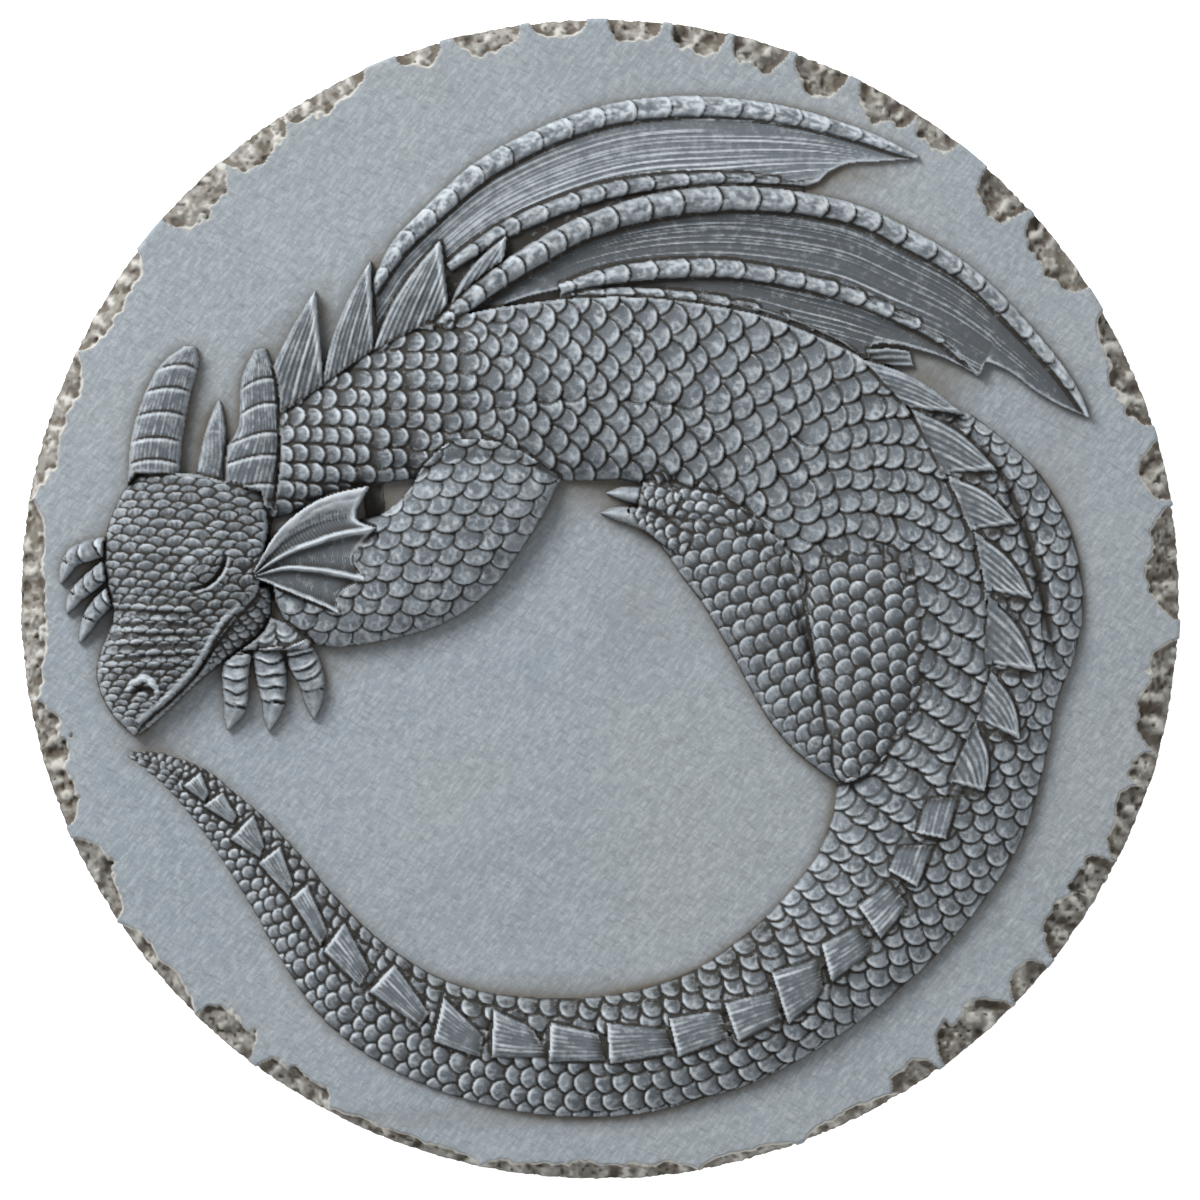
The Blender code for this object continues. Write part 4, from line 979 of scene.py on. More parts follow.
def horns(maps):
    """Two ringed horns and the small plain one between them."""
    for number, (edges, (rings, ridges, bow, lean, size)) in enumerate(zip(HORNS, HORN_LOOKS)):
        rows = [np.array(line, float) for line in edges]
        rows = [np.vstack((line[0] + (0, 8), line)) for line in rows]
        box, along, side = chart(across([smooth(line, 80) for line in rows], 30))
        across_horn = 2 * side - 1
        lines, _ = ridged(side * ridges + 0.35 * np.sin(9 * along + number), number, 0.4)
        height = np.nan_to_num(-cell_places(box)[1] + bow * across_horn**2 - lean * across_horn, nan=-2000.0)
        stops = -np.array(rings, float)
        segment = np.searchsorted(stops, height)
        bounds = np.concatenate(([-HORN_FOOT], stops, [-HORN_END]))
        before = height - bounds[segment]
        after = bounds[segment + 1] - height
        part = unit(before / (bounds[segment + 1] - bounds[segment]))
        worn = unit(0.55 + noise(height / 5, side * 16, number + 91))
        level = HORN_RELIEF * (0.36 + 0.60 * dome(across_horn, 2.4)) * (1 - 0.35 * along)
        level = size * (level * (0.84 + 0.16 * part) + 0.00035 * lines - 0.0005 * bell(after / 1.5))
        ringed = len(rings) > 1
        gap = ringed * bell((before - 0.5) / 1.8)
        lip = ringed * bell((after - 2.5) / 1.6)
        edge = unit(np.abs(across_horn) * 4 - 3)
        wash = gap + 0.7 * edge + 0.6 * unit(0.40 - lines) + 0.35 * unit(8 * along - 7.2) + 0.06
        pale = 0.6 * lip + 0.95 * lines * worn * np.clip(1.3 - part, 0.3, 1) * (1 - gap) - 0.1
        maps.lay(box, level, HEAD_GROUP, tone=-0.2, wash=wash, pale=0.75 * unit(pale) * (1 - edge))


JAW_SKIN = Skin(
    gap=((0, 10), (6, 7)), pitch=((0, 12), (6, 9)), bearing=((0, 100), (6, 120)), lift=0.0013, first=0.5,
    crown=0.6, crevice=1.8, shade=0.3,
)
HEAD_SKIN = Skin(
    gap=((0, 8.6), (3, 7.8), (5, 7), (8, 6.6)), pitch=((0, 19), (3, 17), (5, 14), (8, 13)),
    bearing=((0, 275), (3, 268), (5, 262), (8, 262)), lift=0.0017, crown=0.15, crevice=2.0, blunt=0.36,
    full=1.26, shade=0.52,
)
HEAD_RIGHT_EDGE = (0.5, 0.5, 0.55, 0.62, 0.70, 0.74, 0.76, 0.76, 0.8)
EYELID = ((184, 590, 5), (196, 577, 9), (210, 565, 9), (224, 551, 4))
# Each fold of the snout is where it starts and how far it tilts.
SNOUT_FOLDS = ((603, 6), (617, 3), (630, 0), (642, -2), (654, -3), (665, -4))
FOLD_RISE = 0.0011
NOSTRIL_LIP = ((128, 692, 3), (134, 683, 4), (145, 678, 4.5), (155, 684, 4), (159, 696, 3))
NOSTRIL = ((134, 694), (141, 689), (150, 690), (155, 696))


def skull(maps):
    """Jaw and skull with their scales and the folds across the snout."""
    grid = stations(JAW, 90, 10, 2)
    box, along, side = chart(grid)
    base = JAW_RELIEF * (1 - 0.35 * along) * dome(side, 2.6)
    scaled(maps, base, box, HEAD_GROUP, place_scales(grid, len(JAW), JAW_SKIN), JAW_SKIN)
    table = np.asarray(HEAD)
    grid = stations(table, 200, 30, 3)
    box, along, side = chart(grid)
    right_edge = ends(along, HEAD_RIGHT_EDGE)
    sides = np.where(side < 0.5, arch(side, 2.4), right_edge + (1 - right_edge) * arch(side))
    x, y = cell_places(box)
    folds = np.zeros(x.shape)
    for start_y, tilt in SNOUT_FOLDS:
        crest = start_y + tilt * np.sin((x - 105) / 60)
        folds = np.maximum(folds, bell((y - crest) / 3.6))
    reach = unit((x - 104) / 10) * unit((206 - x) / 22) * unit((y - 596) / 6) * unit((672 - y) / 6)
    base = HEAD_RELIEF * ends(along, table[:, 6]) * sides + FOLD_RISE * folds * reach
    scaled(maps, base, box, HEAD_GROUP, place_scales(grid, len(table), HEAD_SKIN), HEAD_SKIN)


def head(maps):
    """Skull with the closed eye, the mouth line and the nostril."""
    skull(maps)
    box, along, side = chart(ribbon(BROW, 50, 9))
    maps.relief[box] += np.nan_to_num(0.09 * HEAD_RELIEF * np.sin(np.pi * along) * arch(side, 2.0))
    box, share = ridge_share(ribbon(EYELID, 50, 9), 0.6)
    maps.relief[box] += 0.0012 * share
    below_slit = [(x + 3.5, y + 2.5, 2.2) for x, y in EYE_SLIT]
    for path, rows, rise, rubbed in ((below_slit, 50, 0.0006, 0.35), (NOSTRIL_LIP, 40, 0.0010, 0.8)):
        box, share = ridge_share(ribbon(path, rows))
        maps.relief[box] += rise * share
        maps.pale[box] = np.maximum(maps.pale[box], rubbed * share)
    groove(maps, EYE_SLIT, width=3.4, depth=2.0 * CREASE_DEPTH, dark=3.0)
    mouth = [(x + 1, y + 1) for x, y, _, _ in JAW[1:]]
    groove(maps, mouth, width=3.0, depth=1.4 * CREASE_DEPTH, dark=2.0)
    box, along, _ = chart(ribbon([(x - 3.5, y - 2.5, 1.8) for x, y, _, _ in JAW[1:]], 80))
    maps.pale[box] = np.where(np.isnan(along), maps.pale[box], 0.8)
    maps.wash[box] = np.where(np.isnan(along), maps.wash[box], 0.0)
    groove(maps, NOSTRIL, width=4.5, depth=1.5 * CREASE_DEPTH, dark=1.0)


EAR_COLUMNS = 61
EAR_ROWS = 90
RIB_WIDTHS = (0.42, 0.13, 0.12, 0.15)


def ear(maps):
    """Fan of four ribs with ribbed skin between them, which sags at its free edge."""
    grid = across([smooth(rib, EAR_ROWS) for rib in EAR_RIBS], EAR_COLUMNS)
    bay = np.linspace(0, 3, EAR_COLUMNS) % 1
    hollow = 0.14 * np.sin(np.pi * bay)[None, :] * np.linspace(0, 1, EAR_ROWS)[:, None]
    grid = grid[:1] + (grid - grid[:1]) * (1 - hollow[..., None])
    box, along, side = chart(grid)
    place = 3 * side
    nearest = np.abs(place - np.round(place))
    thick = np.interp(np.round(np.nan_to_num(place)), (0, 1, 2, 3), RIB_WIDTHS) * (1.15 - 0.5 * along)
    ridge = bell(nearest / thick)
    lines = np.abs(np.sin(np.pi * (along * 34 + 1.5 * side))) * (1 - ridge)
    strands = unit(0.5 + noise(along * 9, side * 46, 81))
    dashes = unit(0.4 + noise(along * 34, side * 14, 82))
    level = EAR_RELIEF * (0.64 + 0.18 * ridge + 0.14 * (1 - along))
    level = level + 0.00022 * lines + 0.00035 * strands * ridge
    shade = unit(1 - nearest * 3.0) * (1 - ridge)
    rim = np.exp(-(((1 - along) * 60 - 1.5) ** 2) / 2)
    root = unit(1 - 3.5 * along)
    wash = unit(0.12 + 0.36 * shade + 0.28 * (1 - lines) - 0.4 * ridge + 0.3 * root)
    pale = unit(ridge * (0.35 + 0.65 * strands) + 0.6 * rim + 0.22 * lines * dashes * (1 - shade))
    pale = pale * (1 - 0.6 * root)
    maps.lay(box, level, HEAD_GROUP, tone=0.8 * ridge - 0.2, wash=wash, pale=pale)


def tail_plates(maps):
    """Ribbed plates along the tail, each with a raised free edge and painted shade with brown washing in
    front of it.
    """
    for number, (free_in, free_out, root_in, root_out) in enumerate(TAIL_PLATES):
        free, root = (np.array(pair, float) for pair in ((free_in, free_out), (root_in, root_out)))
        share = np.linspace(0, 1, 20)[:, None, None]
        box, along, side = chart(across(list(np.moveaxis(root + share * (free - root), 1, 0)), 24))
        lanes = 4 + int(np.hypot(*(free[1] - free[0])) / 9)
        wave = lanes * side + 0.15 * np.sin(4 * along + number)
        lines, _ = ridged(wave, number)
        edge = unit(np.minimum(side, 1 - side) * 8)
        lip = bell((1 - along) * 16)
        rise = TAIL_PLATE_RISE * (0.35 + 1.0 * along) * (0.80 + 0.20 * lines) * (0.45 + 0.55 * edge)
        worn = unit(0.5 + noise(along * 4, wave * 1.4, number + 101))
        ground = maps.ground[box]
        wash = 0.9 * unit(1 - 4 * along) + 0.6 * unit(0.42 - lines) + 0.4 * (1 - edge)
        pale = unit(1.1 * lines * worn * (0.4 + 0.6 * along) + 0.8 * lip - 0.15) * edge
        maps.lay(box, ground + rise, TAIL_GROUP, ground=ground, wash=wash, pale=pale)
        # Painted shade with brown washing just beyond the free edge.
        away = free.mean(0) - root.mean(0)
        away = 3.0 * away / np.hypot(*away)
        along_edge = (free[0] + away, 0.5 * (free[0] + free[1]) + away, free[1] + away)
        shadow(maps, along_edge, strength=0.95, spread=2.6)


# Rows are the two ends of the root and the tip, the number of ridges and the height as a share.
FAN_PLATES = (
    ((252, 434), (325, 385), (316, 289), 10, 1.0),
    ((321, 386), (374, 350), (371, 260), 10, 1.0),
    ((372, 352), (450, 313), (441, 240), 11, 1.0),
    ((446, 312), (500, 290), (507, 236), 7, 0.7),
)
FAN_FLOOR = 0.0024
FAN_GAPS = (
    ((375, 340), (374, 320), (373, 280)),
    ((326, 374), (322, 350), (318, 305)),
    ((449, 304), (446, 288), (443, 256)),
)
# Each filling is its line, half-width, height, darkness and the piece that it belongs to; the darkness is
# painted shade with brown washing.
GAPS = (
    (((372, 470), (374, 500), (376, 530), (372, 565), (366, 605)), 10, 0.0008, 0.85, HEAD_GROUP),
    (((428, 330), (442, 321), (456, 312)), 8, 0.0040, 0.5, TRUNK_GROUP),
    (((262, 600), (262, 575), (258, 540), (264, 505), (268, 480)), 12, 0.0008, 0.85, HEAD_GROUP),
    (((890, 384), (902, 400), (912, 414), (922, 430)), 7, 0.0070, 0.85, BACK_GROUP),
)
TAB = (((866, 349), (890, 348), (910, 351)), ((868, 366), (890, 366), (914, 367)))
TAB_RELIEF = 0.0030


def neck_plates(maps):
    """Fan of plates behind the horns, laid from the rear one forwards."""
    for number, (root_a, root_b, tip, ridges, share) in reversed(list(enumerate(FAN_PLATES))):
        rise = NECK_PLATE_RISE * share
        plate(maps, root_a, root_b, tip, rise, FAN_FLOOR, ridges, HEAD_GROUP, seed=number, bulge=8)
    for gap in FAN_GAPS:
        shadow(maps, gap, strength=0.95, spread=2.4)


def fillings(maps):
    """Small tab behind the near wing and the sunken places between the forms, painted dark as shade with
    brown washing.
    """
    box, along, side = chart(across([smooth(line, 30) for line in TAB], 12))
    lines = np.abs(np.sin(np.pi * (2.5 * side + 0.4 * along)))
    level = TAB_RELIEF * (0.8 + 0.2 * lines) * (1 - 0.4 * along)
    maps.lay(box, level, TRUNK_GROUP, on_top=False, wash=0.22 + 0.3 * (1 - lines), pale=0.12 * lines)
    for path, width, height, gap_shade, group in GAPS:
        box, _, side = chart(ribbon([(x, y, width) for x, y in path], 60))
        maps.lay(box, height * (0.6 + 0.4 * arch(side)), group, on_top=False, tone=0.3 - gap_shade, wash=gap_shade)


def back_plates(maps):
    """Plates along the spine, each with painted shadow on the slope below it."""
    down = np.array((-1.0, 5.0))
    for number, corners in enumerate(BACK_PLATES):
        root_a, root_b, tip = (np.array(point, float) for point in corners)
        inward = 0.5 * (root_a + root_b) - tip
        inward = (4 if number else 9) * inward / np.hypot(*inward)
        floor = (0.62 + 0.02 * number) * TRUNK_RELIEF
        root_a, root_b, foot_b = root_a + inward, root_b + inward, root_b
        plate(maps, root_a, root_b, tip, PLATE_RISE, floor, 7, BACK_GROUP, seed=number, bulge=9)
        # Painted shadow on the slope below the plate.
        shadow(maps, (foot_b + down, 0.5 * (foot_b + tip) + down, tip + down), strength=0.95, spread=4)


def dragon_map():
    """Everything of the dragon in the order in which one form covers another."""
    maps = Maps()
    wings(maps)
    neck_plates(maps)
    bone(maps, (NEAR_BONE_ROOT,) + NEAR_BONE, NEAR_BONE_RELIEF, NEAR_JOINTS, on_top=True, shade=0.30)
    for draw in (body, fillings, arm, leg, foot, back_plates, tail_plates, paws, horns, head, ear):
        draw(maps)
    maps.relief = np.minimum(soften(maps.relief, 0.5), TOP - SLAB_THICKNESS)
    return maps


def read(field, x, y):
    """Value of a map under a point of the plan, in metres, between the four nearest cells."""
    column = np.clip((CENTRE[0] + x / SCALE) / CELL, 0, field.shape[1] - 1.001)
    row = np.clip((CENTRE[1] - y / SCALE) / CELL, 0, field.shape[0] - 1.001)
    i, j = column.astype(int), row.astype(int)
    u, v = column - i, row - j
    upper = field[j, i] * (1 - u) + field[j, i + 1] * u
    lower = field[j + 1, i] * (1 - u) + field[j + 1, i + 1] * u
    return upper * (1 - v) + lower * v


def layered(x, y, layers):
    """Sum of noises, each given by its size, its strength and its seed."""
    return sum(strength * noise(x / size, y / size, seed) for size, strength, seed in layers)


def chip_cut(radius, bearing):
    """Depth of the breakage under a point of the rim, whether it is in a chip and how near a chip's edge."""
    inward = DRAWN_RADIUS - radius
    x, y = radius * np.cos(np.radians(bearing)), radius * np.sin(np.radians(bearing))
    ragged = 1 + layered(x, y, ((17, 0.20, 3), (8, 0.14, 4), (4, 0.08, 6)))
    fine_facets = layered(x, y, ((7, 0.0007, 9), (3.2, 0.0003, 10)))
    pits = -0.0009 * unit(noise(x / 4.2, y / 4.2, 12) - 0.45) / 0.45
    cut, chip, lip = np.zeros_like(radius), np.zeros_like(radius), np.zeros_like(radius)
    for number, (first, last, reach) in enumerate(CHIPS):
        share = ((bearing - first) % 360) / (last - first)
        reach_here = reach * ragged * dome(np.where(share < 1, 2 * share - 1, 1), 3.0)
        depth = 1 - np.fmax(inward, 0) / np.fmax(reach_here, 2)
        edge = np.fmax(reach_here, 2) * depth
        broken = (share < 1) & (depth > 0)
        tilt = hashed(number + 0.5) - 0.5
        facets = 0.0018 * noise(x / 14 + number, y / 14, 8) + fine_facets
        step = unit(edge / 3.0)
        fallen = np.fmax(depth, 0) ** 1.3
        slope = CHIP_STEP * (0.6 + 0.5 * tilt) + (CHIP_DEPTH - CHIP_STEP) * fallen * (1 + tilt)
        level = step * np.fmax(slope + facets - pits, 0.0005)
        cut = np.where(broken, np.fmax(cut, level), cut)
        chip = np.where(broken, np.fmax(chip, unit((edge - 1.0) / 1.5)), chip)
        near = (share < 1) & (edge > -1.5) & (edge < 3.6)
        lip = np.where(near, np.fmax(lip, bell((edge - 1.2) / 1.5)), lip)
    return cut, chip, lip


def new_mesh(name, points, faces, values, layout):
    """Mesh object with its paint weights and its flat texture layout."""
    mesh = bpy.data.meshes.new(name)
    sizes = np.array([len(face) for face in faces])
    corners = np.concatenate(faces)
    mesh.vertices.add(len(points))
    mesh.vertices.foreach_set("co", points.astype(np.float32).ravel())
    mesh.loops.add(len(corners))
    mesh.loops.foreach_set("vertex_index", corners.astype(np.int32))
    mesh.polygons.add(len(sizes))
    mesh.polygons.foreach_set("loop_start", np.append(0, np.cumsum(sizes)[:-1]).astype(np.int32))
    mesh.update(calc_edges=True)
    mesh.validate()
    mesh.shade_smooth()
    for key, value in values.items():
        layer = mesh.attributes.new(key, "FLOAT", "POINT")
        layer.data.foreach_set("value", np.clip(value, -1, 1).astype(np.float32))
    uv = mesh.uv_layers.new(name="OFBake")
    uv.data.foreach_set("uv", layout[corners].astype(np.float32).ravel())
    piece = bpy.data.objects.new(name, mesh)
    bpy.context.scene.collection.objects.link(piece)
    return piece


FINE_STEP, HIGH_STEP, LOW_STEP = 0.00022, 0.0006, 0.0010


def paint_maps(maps):
    """Where the stone is rubbed pale, where the brown washing and the painted shade lie, and how far the
    brown runs onto the slab.
    """
    relief = maps.relief
    fine = np.clip((relief - soften(relief, 1.5)) / FINE_STEP, -1, 1)
    middle = relief - soften(relief, 5)
    high, low = np.clip(middle / HIGH_STEP, -1, 1), np.clip(middle / LOW_STEP, -1, 0.3)
    dragon = (maps.piece > 0).astype(float)
    return {
        "rub": unit(soften(maps.pale, 0.45) + 0.30 * fine + 0.10 * high),
        "wash": unit(soften(maps.wash, 0.45) - 0.25 * fine - 0.30 * low),
        "tone": maps.tone,
        "dragon": soften(dragon, 0.6),
        "stain": unit(soften(dragon, 3.0) * 0.55 + soften(dragon, 9) * 0.45 + stained(dragon.shape)),
    }


# Rows are the middle, the two half-sizes and the strength of each brown patch on the face.
STAINS = (
    (935, 380, 45, 26, 0.55), (325, 335, 9, 40, 0.8), (374, 300, 8, 40, 0.7), (268, 395, 14, 40, 0.6),
    (398, 500, 24, 34, 0.9), (210, 440, 30, 50, 0.30), (600, 498, 60, 24, 0.35), (850, 178, 40, 12, 0.35),
    (640, 620, 70, 90, 0.14), (300, 665, 60, 22, 0.30), (150, 745, 36, 16, 0.30),
    (290, 380, 30, 60, 0.25), (850, 800, 26, 70, 0.35), (560, 990, 160, 16, 0.25),
    (480, 1118, 200, 14, 0.25), (590, 60, 120, 40, 0.10), (1060, 470, 40, 90, 0.12),
    (250, 130, 90, 90, 0.10),
)


def stained(shape):
    """Brown patches of the face on a map of the given shape."""
    y, x = np.mgrid[: shape[0], : shape[1]] * CELL
    return sum(s * np.exp(-(((x - a) / w) ** 2) - ((y - b) / h) ** 2) for a, b, w, h, s in STAINS)


NO_GROUP = 99


def quad_sides(field):
    """Values at the upper and at the lower corner of each quad."""
    return field[:-1], field[1:]


def dragon_piece(name, maps, paint, group):
    """The part of the dragon that one group covers, with its border tucked under the face of the slab.

    A quad between two groups goes to the one with the lower number."""
    any_dragon = maps.piece > 0
    owner = np.where(any_dragon, maps.piece, NO_GROUP)
    quads = np.minimum(np.minimum(*quad_sides(owner[:, :-1])), np.minimum(*quad_sides(owner[:, 1:]))) == group
    row, column = np.nonzero(quads)
    wide = any_dragon.shape[1]
    corner = (row * wide + column)[:, None] + np.array((0, wide, wide + 1, 1))
    used, faces = np.unique(corner, return_inverse=True)
    faces = faces.reshape(-1, 4)
    j, i = used // wide, used % wide
    height = np.where(any_dragon, np.maximum(maps.relief, 0.0001), -0.0006)[j, i]
    x, y = (i * CELL - CENTRE[0]) * SCALE, (CENTRE[1] - j * CELL) * SCALE
    points = np.stack((x, y, SLAB_THICKNESS + height), axis=1)
    values = {key: field[j, i] for key, field in paint.items()}
    values["chip"] = np.zeros(len(used))
    low, high = points[:, :2].min(0), points[:, :2].max(0)
    layout = 0.01 + 0.98 * (points[:, :2] - low) / (high - low).max()
    return new_mesh(name, points, faces, values, layout)


def surface_noise(x, y):
    """Slight unevenness of the trowelled face, in metres."""
    return layered(x, y, ((26, 0.00012, 21), (9, 0.00008, 22)))


def face_piece(maps, paint):
    """Bare face inside the rim, open where the dragon covers it."""
    count = FACE_CELLS
    a, b = np.meshgrid(np.linspace(-1, 1, count + 1), np.linspace(-1, 1, count + 1), indexing="ij")
    wide = np.abs(a) > np.abs(b)
    safe_a, safe_b = np.where(a == 0, 1, a), np.where(b == 0, 1, b)
    radius = np.where(wide, a, b)
    angle = np.where(wide, np.pi / 4 * b / safe_a, np.pi / 2 - np.pi / 4 * a / safe_b)
    x, y = FACE_RADIUS * SCALE * radius * np.cos(angle), FACE_RADIUS * SCALE * radius * np.sin(angle)
    inner = soften((maps.piece > 0).astype(float), 5)
    hidden = read(inner, x, y) > UNDER_DRAGON
    calm = unit((FACE_RADIUS - np.hypot(x, y) / SCALE) / 12)
    z = SLAB_THICKNESS + calm * surface_noise(x / SCALE, y / SCALE)
    number = np.arange(x.size).reshape(x.shape)
    quads = np.stack((number[:-1, :-1], number[1:, :-1], number[1:, 1:], number[:-1, 1:]), axis=-1)
    under = hidden[:-1, :-1] & hidden[1:, :-1] & hidden[1:, 1:] & hidden[:-1, 1:]
    used, faces = np.unique(quads[~under], return_inverse=True)
    points = np.stack((x, y, z), axis=-1).reshape(-1, 3)[used]
    values = {"stain": read(paint["stain"], points[:, 0], points[:, 1])}
    for key in ("rub", "wash", "tone", "dragon", "chip"):
        values[key] = np.zeros(len(used))
    layout = points[:, :2] / (2 * FACE_RADIUS * SCALE) * 0.98 + 0.5
    return new_mesh("stone_face", points, faces.reshape(-1, 4), values, layout)


def rim_piece(paint):
    """Outer ring of the face with its breakage, the wall, the bevel and the underside."""
    sectors = RIM_SECTORS
    turn = 2 * np.pi * np.arange(sectors) / sectors
    radii = np.linspace(FACE_RADIUS, DRAWN_RADIUS, RIM_RINGS)
    radius, bearing = np.meshgrid(radii, np.degrees(turn), indexing="ij")
    cut, chip, lip = chip_cut(radius, bearing)
    x, y = radius * np.cos(np.radians(bearing)), radius * np.sin(np.radians(bearing))
    inward = DRAWN_RADIUS - radius
    rounded = EDGE_ROUNDING * unit(1 - inward / (EDGE_ROUNDING / SCALE)) ** 2
    calm = unit((radius - FACE_RADIUS) / 10)
    z = SLAB_THICKNESS - np.fmax(cut, rounded) + calm * np.minimum(surface_noise(x, y), 0)
    z[0] = SLAB_THICKNESS
    degrees = np.degrees(turn)
    ragged = 0.8 * (noise(degrees * 2.6, turn * 0, 31) + 0.6 * noise(degrees * 6, turn * 0, 32) - 1.0)
    pulled = unit(cut / CHIP_DEPTH) * unit(1 - inward / 20) * ragged
    radius = np.minimum(radius + pulled, DRAWN_RADIUS)
    rings_r, rings_z, rings_chip = [radius], [z], [chip]
    top_z, top_r = z[-1], radius[-1]
    for share in WALL_SHARES:
        level = top_z * (1 - share) + BASE_BEVEL * share
        wall = top_r * (1 - share) ** 3 + DRAWN_RADIUS * (1 - (1 - share) ** 3)
        uneven = 0.25 * noise(degrees * 1.2, np.full(sectors, share * 9), 41)
        wall = np.minimum(wall - 0.25 + uneven, DRAWN_RADIUS)
        rings_r.append(wall[None])
        rings_z.append(level[None])
        rings_chip.append((chip[-1] * (1 - share) ** 2)[None])
    base_r = DRAWN_RADIUS - BASE_BEVEL / SCALE
    rings_r.append(np.full((1, sectors), base_r))
    rings_z.append(np.zeros((1, sectors)))
    rings_chip.append(np.zeros((1, sectors)))
    radius, z, chip = (np.concatenate(parts) for parts in (rings_r, rings_z, rings_chip))
    angle = np.broadcast_to(turn, radius.shape)
    points = np.stack((radius * SCALE * np.cos(angle), radius * SCALE * np.sin(angle), z), axis=-1)
    number = np.arange(radius.size).reshape(radius.shape)
    after = np.roll(number, -1, axis=1)
    quads = np.stack((number[:-1], number[1:], after[1:], after[:-1]), axis=-1).reshape(-1, 4)
    flat = np.vstack((points.reshape(-1, 3), (0.0, 0.0, 0.0)))
    last = number[-1]
    middle = len(flat) - 1
    faces = quads.tolist() + [[int(last[(k + 1) % sectors]), int(last[k]), middle] for k in range(sectors)]
    top = RIM_RINGS * sectors
    step = (z[:RIM_RINGS] - soften_rows(z[:RIM_RINGS])).ravel()
    broken = chip[:RIM_RINGS].ravel() > 0
    values = {key: np.zeros(len(flat)) for key in ("rub", "wash", "tone", "dragon", "stain", "chip")}
    values["rub"][:top] = np.fmax(unit(step / 0.0006) * 0.8 * broken, lip.ravel())
    # Concave parts of the chips darkened: brown washing with painted shade.
    values["wash"][:top] = unit(-step / 0.0006) * broken * (1 - lip.ravel())
    values["stain"][:top] = read(paint["stain"], flat[:top, 0], flat[:top, 1])
    values["chip"] = np.append(chip.ravel(), 0.0)
    values["chip"][:top] = np.fmax(values["chip"][:top], lip.ravel())
    ring = np.arange(radius.shape[0])[:, None]
    spread = np.where(ring < RIM_RINGS, radius, DRAWN_RADIUS + (ring - RIM_RINGS + 1) * 12)
    layout = np.stack((spread * np.cos(angle), spread * np.sin(angle)), axis=-1).reshape(-1, 2)
    layout = np.vstack((layout, (0.0, 0.0))) / (2 * spread.max()) * 0.98 + 0.5
    return new_mesh("stone_rim", flat, faces, values, layout)


def soften_rows(field):
    """Blur over a ring-shaped map."""
    blurred = field
    for axis, reach in ((1, 5), (0, 2)):
        total = np.zeros_like(field)
        for k in range(-reach, reach + 1):
            moved = np.roll(blurred, k, axis)
            if axis == 0 and k:
                moved = blurred[np.clip(np.arange(field.shape[0]) - k, 0, field.shape[0] - 1)]
            total += moved
        blurred = total / (2 * reach + 1)
    return blurred


